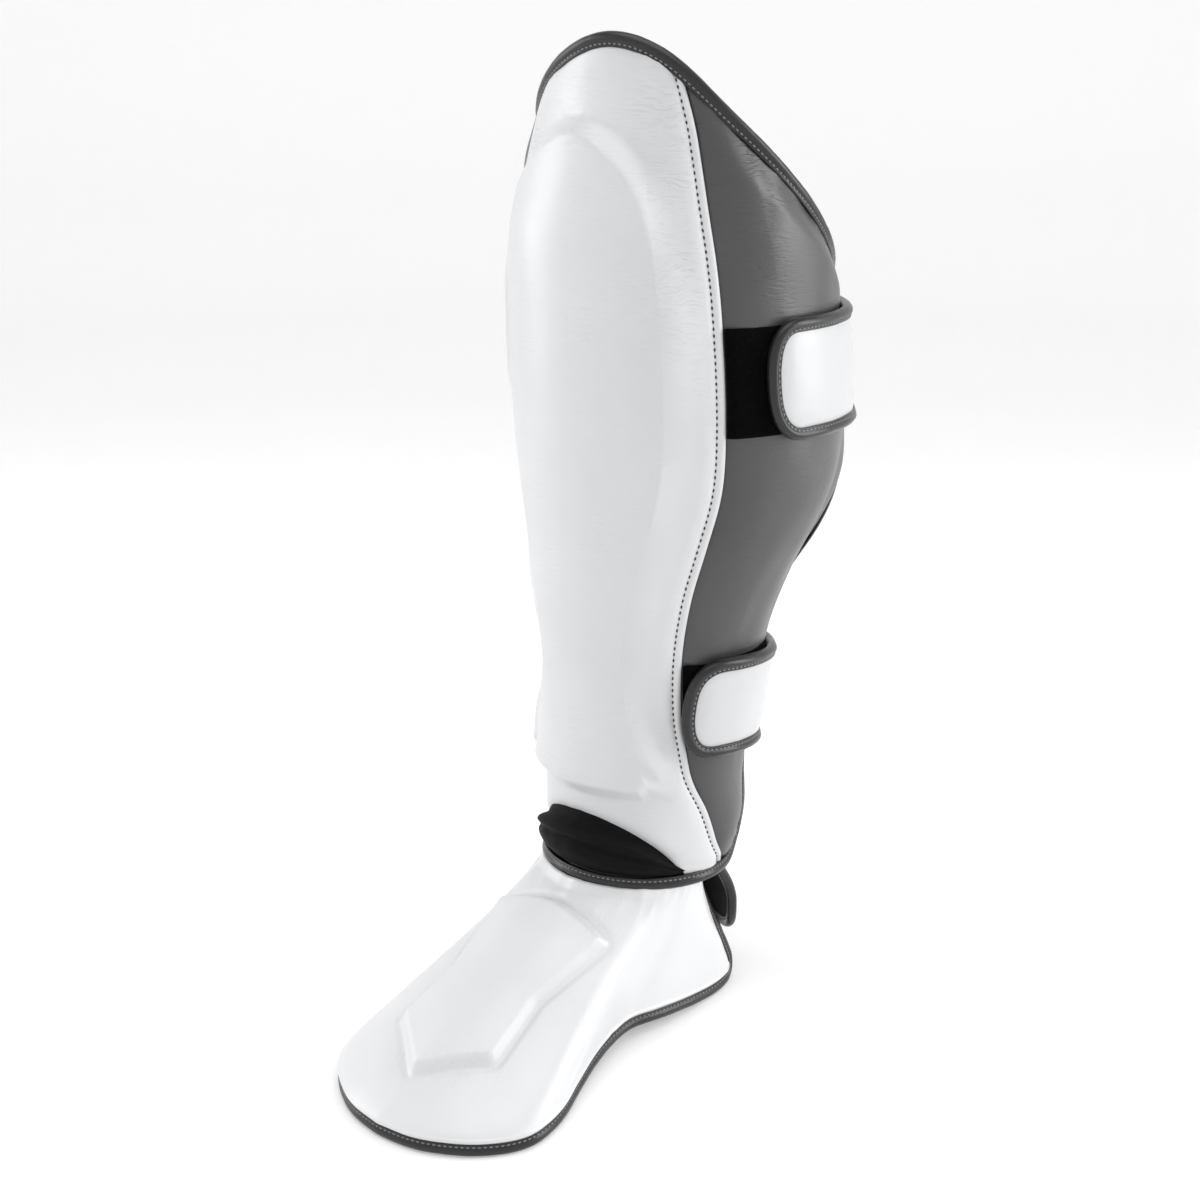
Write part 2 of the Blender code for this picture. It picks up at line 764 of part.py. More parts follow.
def tab_place(across, z):
    """A point on the ankle tab's outer face, across from -1 to 1 of its half-width."""
    below = fade(z - TAB_SWING[0] * RING_HEIGHT, TAB_SWING[1] * RING_HEIGHT)
    degrees = TAB_TOP_DEGREES + (TAB_DEGREES - TAB_TOP_DEGREES) * below
    seated = -(EDGE_WALL + 2 * FORM_GAP + GAP + TAB_BINDING_RADIUS - TAB_THICKNESS / 2)
    out = seated + (TAB_FLARE - seated) * fade(z - TAB_LEAN[0] * RING_HEIGHT, TAB_LEAN[1] * RING_HEIGHT)
    return on_leg(degrees + across * degrees_for(TAB_HALF_WIDTH, z), z, out)


def tab_outline(share, inset):
    """Height and half-width of the tab's round-ended outline, share of the way up, taken in by inset."""
    centre = TAB_BOTTOM + TAB_HALF_WIDTH
    radius = TAB_HALF_WIDTH - inset
    if share >= TAB_ROUND_SHARE:
        return centre + (TAB_TOP - centre) * (share - TAB_ROUND_SHARE) / (1.0 - TAB_ROUND_SHARE), radius
    angle = math.pi / 2 * max(share / TAB_ROUND_SHARE, 0.12)
    return centre - radius * math.cos(angle), radius * math.sin(angle)


def ankle_tab():
    """Black tab behind the ankle, with its own binding, tucked inside the outer wing's lower corner."""
    rows = 12

    def point(u, v):
        z, half = tab_outline(v, 2 * TAB_BINDING_RADIUS + 3 * GAP)
        return tab_place((2.0 * u - 1.0) * half / TAB_HALF_WIDTH, z)

    padded_sheet("ankle_tab", point, 6, rows, lambda u, v: TAB_THICKNESS, TAB_THICKNESS, BLACK)

    path = []
    for side, order in ((1.0, range(rows, -1, -1)), (-1.0, range(rows + 1))):
        for step in order:
            z, half = tab_outline(step / rows, TAB_BINDING_RADIUS)
            across = side * half / TAB_HALF_WIDTH
            up = tab_place(across, z + TAB_THICKNESS) - tab_place(across, z - TAB_THICKNESS)
            over = tab_place(across + COLUMN_STEP, z) - tab_place(across - COLUMN_STEP, z)
            path.append(tab_place(across, z) - over.cross(up).normalized() * TAB_THICKNESS / 2)
    tube("ankle_tab_binding", path, TAB_BINDING_RADIUS, CHARCOAL)


def centre_on_floor():
    """Moves the whole model so that its origin is the bottom centre of its bounding box."""
    bpy.context.view_layer.update()
    depsgraph = bpy.context.evaluated_depsgraph_get()
    low = Vector((1.0, 1.0, 1.0))
    high = -low
    for obj in model.objects:
        if obj.type == "EMPTY":
            continue
        evaluated = obj.evaluated_get(depsgraph)
        mesh = evaluated.to_mesh()
        for vertex in mesh.vertices:
            place = obj.matrix_world @ vertex.co
            low = Vector(map(min, low, place))
            high = Vector(map(max, high, place))
        evaluated.to_mesh_clear()
    root.location = (-(low.x + high.x) / 2, -(low.y + high.y) / 2, -low.z)


for old in list(bpy.data.objects):
    bpy.data.objects.remove(old, do_unlink=True)
model = bpy.data.collections.new("Shin and instep guard")
cutters = bpy.data.collections.new("Cutters")
bpy.context.scene.collection.children.link(model)
bpy.context.scene.collection.children.link(cutters)
root = bpy.data.objects.new("guard_origin", None)
model.objects.link(root)

shin_pad()
wing("wing_outer", 1.0)
wing("wing_inner", -1.0)
shin_binding()
ankle_gusset()
instep_pad()
instep_binding()
loop_patch("upper_loop_patch", UPPER_STRAP_HEIGHT, UPPER_STRAP_WIDTH)
loop_patch("lower_loop_patch", LOWER_STRAP_HEIGHT, LOWER_STRAP_WIDTH)
strap("upper_strap", UPPER_STRAP_HEIGHT, UPPER_STRAP_WIDTH, UPPER_STRAP_END, UPPER_STRAP_DROP)
strap("lower_strap", LOWER_STRAP_HEIGHT, LOWER_STRAP_WIDTH, LOWER_STRAP_END, LOWER_STRAP_DROP)
ankle_tab()
centre_on_floor()
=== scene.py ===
"""A padded shin and instep guard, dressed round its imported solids.

Metres, +Z up, toes towards -Y, and +X is the side on which the straps end. The sections follow the
guard as it is put together: leg panels, gusset, instep, bindings, loop tape, straps and tab, stitches.
"""

import math

import bpy
import numpy as np
from mathutils import Matrix, Vector, noise


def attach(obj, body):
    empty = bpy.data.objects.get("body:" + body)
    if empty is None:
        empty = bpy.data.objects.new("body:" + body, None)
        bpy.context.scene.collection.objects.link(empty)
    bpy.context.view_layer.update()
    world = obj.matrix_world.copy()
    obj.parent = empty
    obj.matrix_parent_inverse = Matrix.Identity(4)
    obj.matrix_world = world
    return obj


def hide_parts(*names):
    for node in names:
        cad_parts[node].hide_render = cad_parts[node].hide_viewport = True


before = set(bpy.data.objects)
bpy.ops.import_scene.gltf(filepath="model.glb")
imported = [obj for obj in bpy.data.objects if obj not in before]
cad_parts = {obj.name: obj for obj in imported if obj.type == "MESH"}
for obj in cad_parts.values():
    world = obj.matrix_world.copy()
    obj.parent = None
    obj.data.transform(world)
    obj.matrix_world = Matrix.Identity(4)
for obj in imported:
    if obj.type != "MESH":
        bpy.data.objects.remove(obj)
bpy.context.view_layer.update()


# White shin panel
# Thick foam under smooth white synthetic leather, with a second pad raised in its middle. Both long
# edges are folded under and stitched down over the grey wings, and the lower edge rolls over the gusset.

ORIGIN = np.array((-0.003726, 0.02866, 0.0))
HEIGHT = 0.48
CALF_RADIUS = 0.0778
RING_HEIGHT = 0.0755
RING_RISE = 0.004
BINDING_RADIUS = 0.003
BINDING_GAP = 0.0012
LEATHER_INSET = 0.0056
EDGE_TUCK = 0.0018
GUSSET_HEIGHT = 0.0255
SHIN_WALL = 0.014
EDGE_WALL = 0.005
PAD_LIFT = 0.0067
PAD_STEP = 0.0105
PAD_TURN = 2.0
PANEL_ROLL = (0.010, 0.0055)
PANEL_TOP_ROLL = (0.013, 0.0016)
PANEL_TUCK = 0.0009
INNER_ROLL = (0.009, 0.0013)
PUFF_REACH = 0.012
SEAM_STITCH = 0.0031
SEAM_GAP = 0.0006
SEAM_PUCKER = 0.00022
SEAM_THINNING = 0.45
PANEL_HALF_WIDTH = 0.072
PANEL_LOWER_DEGREES = 70.0
PANEL_UNEVEN = 0.0005
PANEL_TAPERS = (0.027, 0.012)
PANEL_BEHIND = (0.0035, 0.009)
CORNER_DEGREES = (60.0, 20.0)
RING_DEGREES = (52.0, 16.0)
CREASED_ABOVE = (0.30, 0.10)

# Leg form: share of HEIGHT, centre's y and radius as shares of CALF_RADIUS
LEG_FORM = (
    (0.154, 0.077, 0.617),
    (0.208, 0.174, 0.648),
    (0.260, 0.180, 0.643),
    (0.313, 0.229, 0.654),
    (0.365, 0.266, 0.679),
    (0.417, 0.297, 0.719),
    (0.469, 0.360, 0.799),
    (0.521, 0.460, 0.898),
    (0.573, 0.536, 0.977),
    (0.625, 0.537, 1.000),
    (0.729, 0.494, 0.981),
    (0.833, 0.447, 0.937),
    (0.938, 0.527, 0.869),
    (1.000, 0.553, 0.835),
)

# Seam between the white panel and a wing: share of HEIGHT, degrees from the front
SEAM = (
    (0.169, 106.0),
    (0.206, 86.0),
    (0.250, 75.3),
    (0.283, 65.4),
    (0.315, 59.5),
    (0.348, 55.0),
    (0.396, 52.3),
    (0.504, 50.9),
    (0.629, 53.2),
    (0.723, 53.6),
    (0.815, 52.2),
    (0.904, 44.8),
    (0.970, 35.5),
)

# Top edge of the binding: degrees from the front, share of HEIGHT
TOP_EDGE = (
    (-143.0, 0.730),
    (-132.0, 0.778),
    (-117.0, 0.806),
    (-86.0, 0.866),
    (-54.0, 0.926),
    (-34.6, 0.956),
    (-13.0, 0.985),
    (8.0, 0.998),
    (29.0, 0.983),
    (54.0, 0.933),
    (86.0, 0.869),
    (117.0, 0.806),
    (132.0, 0.778),
    (143.0, 0.730),
)

# Lower edge of the panel: degrees from the front, share of GUSSET_HEIGHT above the ring
PANEL_LOWER_EDGE = (
    (0.0, 1.00),
    (15.0, 0.94),
    (30.0, 0.80),
    (45.0, 0.55),
    (59.0, 0.27),
    (74.0, 0.07),
    (106.0, 0.05),
)

# Outline of the raised pad: share of HEIGHT, half-width in degrees
PAD_OUTLINE = (
    (0.265, 40.0),
    (0.282, 48.0),
    (0.298, 49.0),
    (0.329, 41.4),
    (0.369, 33.5),
    (0.465, 35.5),
    (0.571, 36.6),
    (0.671, 42.2),
    (0.748, 43.2),
    (0.806, 38.7),
    (0.854, 32.9),
    (0.872, 28.5),
    (0.888, 23.5),
    (0.9015, 17.0),
    (0.910, 11.5),
    (0.9165, 5.0),
    (0.918, 0.5),
)

# Folded edge along the seam: distance in from the fold, rise of the leather's face
FOLD = (
    (-0.0012, -0.0006),
    (-0.0009, -0.0001),
    (-0.0003, 0.0003),
    (0.0006, 0.0005),
    (0.0016, 0.0004),
    (0.0024, 0.0000),
    (0.0031, -0.0004),
    (0.0038, -0.0001),
    (0.0048, 0.0004),
    (0.0065, 0.0008),
    (0.0100, 0.0011),
    (0.0160, 0.0008),
    (0.0260, 0.0000),
)
FOLD_UNDER = ((0.0004, -0.0014), (-0.0011, -0.0012))

# Distances of the rows from the lower edge, close together where it rolls under
LOWER_ROWS = (0.0, 0.0002, 0.0006, 0.0012, 0.0020, 0.0031, 0.0045, 0.0062, 0.0081)


def along(table, at, column=1):
    """A column of the table at values of its first column, on a smooth curve through its rows."""
    rows = np.array(table)
    x, y = rows[:, 0], rows[:, column]
    last = len(x) - 1
    at = np.clip(at, x[0], x[-1])
    low = np.clip(np.searchsorted(x, at, side="right") - 1, 0, last - 1)
    high = low + 1
    before = np.maximum(low - 1, 0)
    after = np.minimum(high + 1, last)
    span = x[high] - x[low]
    t = (at - x[low]) / span
    start = (y[high] - y[before]) / (x[high] - x[before]) * span
    end = (y[after] - y[low]) / (x[after] - x[low]) * span
    rise = y[high] - y[low]
    return y[low] + start * t + (3 * rise - 2 * start - end) * t**2 + (start + end - 2 * rise) * t**3


def fade(distance, reach):
    """1 at distance 0, falling smoothly to 0 at reach."""
    share = np.clip(distance / reach, 0.0, 1.0)
    return 1.0 - share * share * (3.0 - 2.0 * share)


def roll(distance, shape):
    """How far a rolled-under edge drops, for a roll of a length and a depth."""
    length, depth = shape
    share = np.clip(distance / length, 0.0, 1.0)
    return depth * (1.0 - np.sqrt(1.0 - (1.0 - share) ** 2))


def form(z):
    """Centre's y and radius of the leg form at a height."""
    share = z / HEIGHT
    return along(LEG_FORM, share) * CALF_RADIUS, along(LEG_FORM, share, 2) * CALF_RADIUS


def on_leg(degrees, z, out=0.0):
    """Points at an angle from the front and a height, a distance out from the leg form."""
    degrees, z, out = np.broadcast_arrays(degrees, z, out)
    centre, radius = form(z)
    angle = np.radians(degrees)
    reach = radius + out
    return np.stack((reach * np.sin(angle), centre - reach * np.cos(angle), z), axis=-1) + ORIGIN


def degrees_for(length, z):
    return np.degrees(length / form(z)[1])


def leather_top(degrees):
    """Height of the leather's top edge, inside the binding."""
    return along(TOP_EDGE, degrees) * HEIGHT - LEATHER_INSET


def ring_height(degrees):
    """Height of the ankle ring's centre line, a little higher at the front."""
    return RING_HEIGHT + RING_RISE * (1.0 + np.cos(np.radians(degrees))) / 2


def ring_top(degrees):
    return ring_height(degrees) + BINDING_RADIUS + BINDING_GAP


def panel_bottom(degrees):
    return ring_top(degrees) + along(PANEL_LOWER_EDGE, np.abs(degrees)) * GUSSET_HEIGHT


def seam_place(share, side):
    """Angle and height of the seam, share of the way up it; side runs from -1 at -X to 1 at +X."""
    low_end, top_end = SEAM[0][1], SEAM[-1][1]
    low = panel_bottom(low_end)
    height = low + (leather_top(top_end) - low) * share
    shift = leather_top(side * top_end) - leather_top(top_end)
    return along(SEAM, height / HEIGHT), height + shift * share


def ripple(x, y, seed):
    """Smooth noise, about -1 to 1, at pairs of coordinates."""
    x, y = np.broadcast_arrays(x, y)
    values = [noise.noise(Vector((a, b, seed))) for a, b in zip(x.ravel().tolist(), y.ravel().tolist())]
    return np.array(values).reshape(x.shape)


def graded(length, low, high, count):
    """Distances from 0 to length: low steps, even ones between, then high steps from the far end."""
    low, high = np.array(low), np.array(high)
    even = np.linspace(0.0, 1.0, count + 2)[1:-1]
    length = np.asarray(length)[..., None]
    ends = np.ones(length.shape)
    middle = low[-1] + (length - low[-1] - high[-1]) * even
    return np.concatenate((ends * low, middle, length - ends * high[::-1]), axis=-1)


def shell(name, outer, inner, across, up, crease):
    """A closed padded wall from its outer and inner grids, with a UV map in metres and a crease mask."""
    rows, columns = outer.shape[:2]
    count = rows * columns
    index = np.arange(count).reshape(rows, columns)
    face = np.stack((index[:-1, :-1], index[:-1, 1:], index[1:, 1:], index[1:, :-1]), axis=-1)
    face = face.reshape(-1, 4)
    edge = np.concatenate((index[0, :], index[1:, -1], index[-1, -2::-1], index[-2:0:-1, 0]))
    following = np.roll(edge, -1)
    rim = np.stack((edge, edge + count, following + count, following), axis=-1)
    faces = np.concatenate((face, face[:, ::-1] + count, rim))
    vertices = np.concatenate((outer.reshape(-1, 3), inner.reshape(-1, 3)))
    mesh = bpy.data.meshes.new(name)
    mesh.from_pydata(vertices.tolist(), [], faces.tolist())
    part = np.zeros(len(faces), dtype=np.int32)
    part[len(face) :] = 1
    mesh.polygons.foreach_set("material_index", part)
    corner = np.zeros(len(mesh.loops), dtype=np.int32)
    mesh.loops.foreach_get("vertex_index", corner)
    flat = np.stack(np.broadcast_arrays(across, up), axis=-1).reshape(-1, 2)
    mesh.uv_layers.new(name="UVMap").data.foreach_set("uv", flat[corner % count].ravel())
    mask = np.concatenate((np.broadcast_to(crease, (rows, columns)).ravel(), np.zeros(count)))
    mesh.attributes.new("crease", "FLOAT", "POINT").data.foreach_set("value", mask)
    mesh.shade_smooth()
    return mesh


def add_piece(name, mesh, materials, nodes=()):
    """A finished piece of the guard, in the place of its solids."""
    piece = bpy.data.objects.new(name, mesh)
    bpy.context.scene.collection.objects.link(piece)
    for material in materials:
        mesh.materials.append(material)
    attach(piece, "root")
    if nodes:
        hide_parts(*nodes)
    return piece


def add_node(tree, kind, values=None, **settings):
    """A shader or geometry node with its inputs filled from values or linked from sockets."""
    made = tree.nodes.new(kind)
    for key, value in settings.items():
        setattr(made, key, value)
    for key, value in (values or {}).items():
        if isinstance(value, bpy.types.NodeSocket):
            tree.links.new(value, made.inputs[key])
        else:
            made.inputs[key].default_value = value
    return made


def maths(tree, operation, *inputs, **settings):
    """The result of one sum on numbers or sockets."""
    made = add_node(tree, "ShaderNodeMath", dict(enumerate(inputs)), operation=operation, **settings)
    return made.outputs[0]


def noise_at(tree, place, scale, detail, **values):
    """Uneven patches through a place."""
    values = {"Vector": place, "Scale": scale, "Detail": detail, **values}
    return add_node(tree, "ShaderNodeTexNoise", values)


def ramp(tree, value, limits, results=(0.0, 1.0), **settings):
    """A value moved from one range to another."""
    ends = dict(zip(("From Min", "From Max", "To Min", "To Max"), (*limits, *results)))
    return add_node(tree, "ShaderNodeMapRange", {"Value": value, **ends}, **settings).outputs[0]


def new_group(name, kind, inputs, outputs):
    """A node group with named inputs and outputs, and its two end nodes."""
    tree = bpy.data.node_groups.new(name, kind)
    for title, socket_type, default in inputs:
        socket = tree.interface.new_socket(title, in_out="INPUT", socket_type=socket_type)
        if default is not None:
            socket.default_value = default
    for title, socket_type in outputs:
        tree.interface.new_socket(title, in_out="OUTPUT", socket_type=socket_type)
    return tree, tree.nodes.new("NodeGroupInput"), tree.nodes.new("NodeGroupOutput")


def make_leather_surface():
    """Fine grain, bending creases that run across the UV map, and mottling; heights in millimetres."""
    tree, given, result = new_group(
        "Leather surface",
        "ShaderNodeTree",
        (
            ("Grain Scale", "NodeSocketFloat", 900.0),
            ("Grain Depth", "NodeSocketFloat", 0.02),
            ("Crease Across", "NodeSocketFloat", 150.0),
            ("Crease Up", "NodeSocketFloat", 820.0),
            ("Crease Depth", "NodeSocketFloat", 0.12),
            ("Crease Everywhere", "NodeSocketFloat", 0.15),
        ),
        (("Height", "NodeSocketFloat"), ("Crease", "NodeSocketFloat"), ("Mottle", "NodeSocketFloat")),
    )
    asked = given.outputs
    place = add_node(tree, "ShaderNodeTexCoord").outputs
    pores = {"Vector": place["Object"], "Scale": asked["Grain Scale"]}
    grain = add_node(tree, "ShaderNodeTexVoronoi", pores, feature="SMOOTH_F1")

    # Creases are noise stretched along the UV map and bent by a larger noise
    split = add_node(tree, "ShaderNodeSeparateXYZ", {0: place["UV"]}).outputs
    wide = maths(tree, "MULTIPLY", split["X"], asked["Crease Across"])
    tall = maths(tree, "MULTIPLY", split["Y"], asked["Crease Up"])
    stretched = add_node(tree, "ShaderNodeCombineXYZ", {"X": wide, "Y": tall})
    bend = noise_at(tree, place["Object"], 70.0, 1.0)
    amounts = {0: bend.outputs["Color"], 1: (1.2, 5.0, 0.0)}
    bend_size = add_node(tree, "ShaderNodeVectorMath", amounts, operation="MULTIPLY")
    both = {0: stretched.outputs[0], 1: bend_size.outputs[0]}
    bent = add_node(tree, "ShaderNodeVectorMath", both, operation="ADD")
    lines = noise_at(tree, bent.outputs[0], 1.0, 2.0, Roughness=0.5)
    ridge = ramp(tree, lines.outputs["Fac"], (0.47, 0.68), interpolation_type="SMOOTHSTEP")

    # They come in patches, most where the piece's crease mask asks for them
    patches = noise_at(tree, place["Object"], 34.0, 2.0)
    patchy = ramp(tree, patches.outputs["Fac"], (0.42, 0.66), interpolation_type="SMOOTHSTEP")
    mask = add_node(tree, "ShaderNodeAttribute", attribute_name="crease")
    strength = maths(tree, "ADD", mask.outputs["Fac"], asked["Crease Everywhere"])
    uneven = maths(tree, "MULTIPLY_ADD", patchy, 0.75, 0.25)
    amount = maths(tree, "MULTIPLY", strength, uneven, use_clamp=True)
    crease = maths(tree, "MULTIPLY", ridge, amount)
    sunk = maths(tree, "MULTIPLY", crease, asked["Crease Depth"])
    height = maths(tree, "MULTIPLY", grain.outputs["Distance"], asked["Grain Depth"])
    mottle = noise_at(tree, place["Object"], 18.0, 3.0)
    tree.links.new(maths(tree, "SUBTRACT", height, sunk), result.inputs["Height"])
    # The crease amount also goes out to paint shade into the creases; the mottle is random tone
    tree.links.new(crease, result.inputs["Crease"])
    tree.links.new(mottle.outputs["Fac"], result.inputs["Mottle"])
    return tree


MOTTLE_RANGE = (0.3, 0.7)
COAT_ROUGHNESS = 0.40
MILLIMETRE = 0.001
leather_surface = make_leather_surface()


def new_material(name):
    """A material with its node tree and its shader."""
    material = bpy.data.materials.new(name)
    material.use_nodes = True
    return material, material.node_tree, material.node_tree.nodes["Principled BSDF"]


def two_shades(tree, shader, share, first, second):
    """Base colour that goes from the first shade to the second."""
    shades = {"Factor": share, "A": (*first, 1.0), "B": (*second, 1.0)}
    colour = add_node(tree, "ShaderNodeMix", shades, data_type="RGBA")
    tree.links.new(colour.outputs["Result"], shader.inputs["Base Color"])


def relief(tree, shader, height, distance):
    """Surface relief from heights in units of a distance."""
    bump = add_node(tree, "ShaderNodeBump", {"Height": height, "Distance": distance, "Strength": 1.0})
    tree.links.new(bump.outputs["Normal"], shader.inputs["Normal"])


def leather(name, light, dark, rough, coat, surface, shine=0.5):
    """Synthetic leather: a satin coat over two shades, random mottle and painted shade in the creases,
    with its own surface values.
    """
    material, tree, shader = new_material(name)
    group = add_node(tree, "ShaderNodeGroup", node_tree=leather_surface)
    for title, value in surface.items():
        group.inputs[title].default_value = value
    mottle = group.outputs["Mottle"]
    shade = ramp(tree, mottle, MOTTLE_RANGE, (0.0, 0.35))
    # Painted shade: creases darken the base colour towards the dark shade, on top of the random mottle
    mottle_and_crease_shade = maths(tree, "MULTIPLY_ADD", group.outputs["Crease"], 0.3, shade)
    two_shades(tree, shader, mottle_and_crease_shade, light, dark)
    tree.links.new(ramp(tree, mottle, MOTTLE_RANGE, rough), shader.inputs["Roughness"])
    shader.inputs["Specular IOR Level"].default_value = shine
    shader.inputs["Coat Weight"].default_value = coat
    shader.inputs["Coat Roughness"].default_value = COAT_ROUGHNESS
    relief(tree, shader, group.outputs["Height"], MILLIMETRE)
    return material


def fabric(name, light, dark, rough, shine, scale, depth):
    """Matt textile: a fine uneven knit of two shades."""
    material, tree, shader = new_material(name)
    place = add_node(tree, "ShaderNodeTexCoord").outputs["Object"]
    knit = add_node(tree, "ShaderNodeTexVoronoi", {"Vector": place, "Scale": scale})
    fluff = noise_at(tree, place, scale * 0.6, 4.0)
    height = maths(tree, "MULTIPLY", knit.outputs["Distance"], fluff.outputs["Fac"])
    two_shades(tree, shader, fluff.outputs["Fac"], dark, light)
    shader.inputs["Roughness"].default_value = rough
    shader.inputs["Specular IOR Level"].default_value = shine
    relief(tree, shader, height, depth)
    return material


white_leather = leather(
    "white_leather",
    (0.66, 0.665, 0.677),
    (0.56, 0.565, 0.58),
    (0.30, 0.38),
    0.6,
    {"Grain Depth": 0.018, "Crease Depth": 0.20, "Crease Everywhere": 0.20},
)
lining = fabric("black_lining", (0.022, 0.022, 0.023), (0.010, 0.010, 0.010), 0.9, 0.2, 900.0, 0.0004)


def outline_depth(place, corners):
    """Distance inside an outline given by its right half, negative outside it."""
    nearest = np.full(place.shape[:-1], HEIGHT)
    inside = np.zeros(nearest.shape, dtype=bool)
    for start, end in zip(corners[:-1], corners[1:]):
        run = end - start
        part = np.clip(((place - start) @ run) / (run @ run), 0.0, 1.0)
        nearest = np.minimum(nearest, np.linalg.norm(start + run * part[..., None] - place, axis=-1))
        level = place[..., 1]
        crossing = start[0] + run[0] * (level - start[1]) / (run[1] or 1.0)
        crossed = ((start[1] > level) != (end[1] > level)) & (place[..., 0] < crossing)
        inside = inside != crossed
    return np.where(inside, nearest, -nearest)


def pad_depth(degrees, z):
    """Distance inside the raised pad's outline on the unrolled form, negative outside it."""
    low, high = PAD_OUTLINE[0][0], PAD_OUTLINE[-1][0]
    level = (low + (high - low) * (1.0 - np.cos(np.linspace(0.0, math.pi, 60))) / 2) * HEIGHT
    half = np.radians(along(PAD_OUTLINE, level / HEIGHT)) * form(level)[1]
    corners = np.stack((np.concatenate(([0.0], half, [0.0])), level[[0, *range(60), 59]]), axis=-1)
    degrees, z = np.broadcast_arrays(degrees, z)
    out_from_middle = np.radians(np.abs(degrees + PAD_TURN)) * form(z)[1]
    return outline_depth(np.stack((out_from_middle, z), axis=-1), corners)


def pad_rise(degrees, z):
    return PAD_LIFT * (1.0 - fade(pad_depth(degrees, z) + PAD_STEP / 2, PAD_STEP))


def beyond(degrees, limits):
    """0 up to the first angle from the front, then rising to 1 over the second."""
    start, reach = limits
    return 1.0 - fade(np.abs(degrees) - start, reach)


def panel_edge(degrees):
    """The panel's lower edge: free over the gusset, tucked under the ring's binding at the sides."""
    tuck = along(PANEL_LOWER_EDGE, SEAM[0][1]) * GUSSET_HEIGHT + EDGE_TUCK
    return panel_bottom(degrees) - tuck * beyond(degrees, RING_DEGREES)


def panel_height(height, v, across):
    """Height of a row of the panel at a share of the way across, -1 and 1 at its seams."""
    low_end, top_end = SEAM[0][1], SEAM[-1][1]
    height = height + (leather_top(across * top_end) - leather_top(top_end)) * v + EDGE_TUCK * v**20
    return height + (panel_edge(across * low_end) - panel_bottom(low_end)) * (1.0 - v)


def panel_roll(degrees, z):
    """How far the panel's face drops towards its two ends, deepest at the free edge over the gusset."""
    bottom = z - panel_edge(degrees)
    open_share = np.clip(along(PANEL_LOWER_EDGE, np.abs(degrees)) / 0.3, 0.25, 1.0)
    top = leather_top(degrees) + EDGE_TUCK - z
    pressed = PANEL_TUCK * fade(bottom - 0.0035, 0.004) * beyond(degrees, RING_DEGREES)
    return roll(bottom, PANEL_ROLL) * open_share + roll(top, PANEL_TOP_ROLL) + pressed


def shin_panel():
    """Outer and inner grids of the white panel, with their arc lengths, heights and crease mask."""
    edge, edge_out = np.array((*FOLD_UNDER, *FOLD)).T
    middle = np.linspace(-1.0, 1.0, 74)[1:-1]
    zone = FOLD[-1][0]
    half = PANEL_HALF_WIDTH
    side = np.concatenate((edge / half - 1.0, middle * (1.0 - zone / half), (1.0 - edge / half)[::-1]))
    length = leather_top(side * SEAM[-1][1]) + EDGE_TUCK - panel_edge(side * PANEL_LOWER_DEGREES)
    v = (graded(length, LOWER_ROWS, (0.0, 0.0012), 236) / length[:, None]).T
    seam_angle, z = seam_place(v, np.ones(len(side)))
    radius = form(z)[1]
    inner_half = seam_angle - np.degrees(zone / radius)
    left = np.degrees(edge / radius[:, : len(edge)]) - seam_angle[:, : len(edge)]
    right = seam_angle[:, -len(edge) :] - np.degrees(edge[::-1] / radius[:, -len(edge) :])
    degrees = np.concatenate((left, middle * inner_half[:, len(edge) : -len(edge)], right), axis=1)
    z = panel_height(z, v, degrees / seam_angle)
    radius = form(z)[1]
    distance = np.radians(seam_angle - np.abs(degrees)) * radius
    rise = np.concatenate((edge_out, np.zeros(len(middle)), edge_out[::-1]))
    bottom = z - panel_edge(degrees)
    top = leather_top(degrees) + EDGE_TUCK - z
    seam_pull = fade(distance - SEAM_STITCH, PUFF_REACH) * (distance > SEAM_STITCH + 0.0004)
    pucker = SEAM_PUCKER * seam_pull * ripple(z / 0.0046, distance / 0.012, 3.0)
    inside = 1.0 - fade(np.minimum(distance, top), 0.02)
    soft = PANEL_UNEVEN * ripple(degrees / 22.0, z / 0.045, 8.0) * inside
    out = rise + pad_rise(degrees, z) + pucker + soft - panel_roll(degrees, z)
    outer = on_leg(degrees, z, out)

    # The wall thins towards the seams, both ends and the narrow lower corners
    top_taper, low_taper = PANEL_TAPERS
    corner = beyond(degrees, CORNER_DEGREES)
    thin = np.maximum(np.maximum(fade(top, top_taper), fade(bottom, low_taper)), corner)
    thin = np.maximum(thin, SEAM_THINNING * fade(distance, 0.02))
    wall = SHIN_WALL - (SHIN_WALL - EDGE_WALL) * thin
    kept = np.clip(distance, SEAM_GAP, None)
    inner_degrees = np.sign(degrees) * (seam_angle - np.degrees(kept / radius))
    depth, reach = PANEL_BEHIND
    pressed = roll(top, INNER_ROLL) - depth * fade(bottom, reach) ** 2 * (1.0 - corner)
    inner = on_leg(inner_degrees, z, pressed - wall)

    # Creases gather beside the seams above the calf, fewer on the raised pad
    start, reach = CREASED_ABOVE
    high = 1.0 - fade(z - start, reach)
    on_pad = pad_depth(degrees, z) > 0.004
    crease = 0.15 + high * (0.35 + 0.5 * fade(distance, 0.045)) * (1.0 - 0.6 * on_pad)
    crease = np.maximum(crease, 0.5 * fade(bottom, 0.03))
    return outer, inner, np.radians(degrees) * radius, z, crease


panel = add_piece(
    "white_shin_panel",
    shell("white_shin_panel", *shin_panel()),
    (white_leather, lining),
    ("shin_pad",),
)


# Calf wings
# Softer foam under grey synthetic leather. Each wing starts under the white panel's folded edge and thins
# out towards the binding that closes its top, rear and lower edges.

WING_WALL = 0.010
WING_FLARE = (0.006, 0.65, 0.19)
WING_TAPER = (0.3, 0.2, 0.1)
WING_EDGE_ROLL = (0.016, 0.0013)
WING_LOW_ROLL = (0.008, 0.0013)
WING_FULLNESS = (0.0007, 0.0036, 0.345)
WING_PUCKER = 0.00025
WING_TOP_PUCKER = 0.0004
WING_UNEVEN = 0.0007
WING_CREASED_ABOVE = (0.33, 0.09)

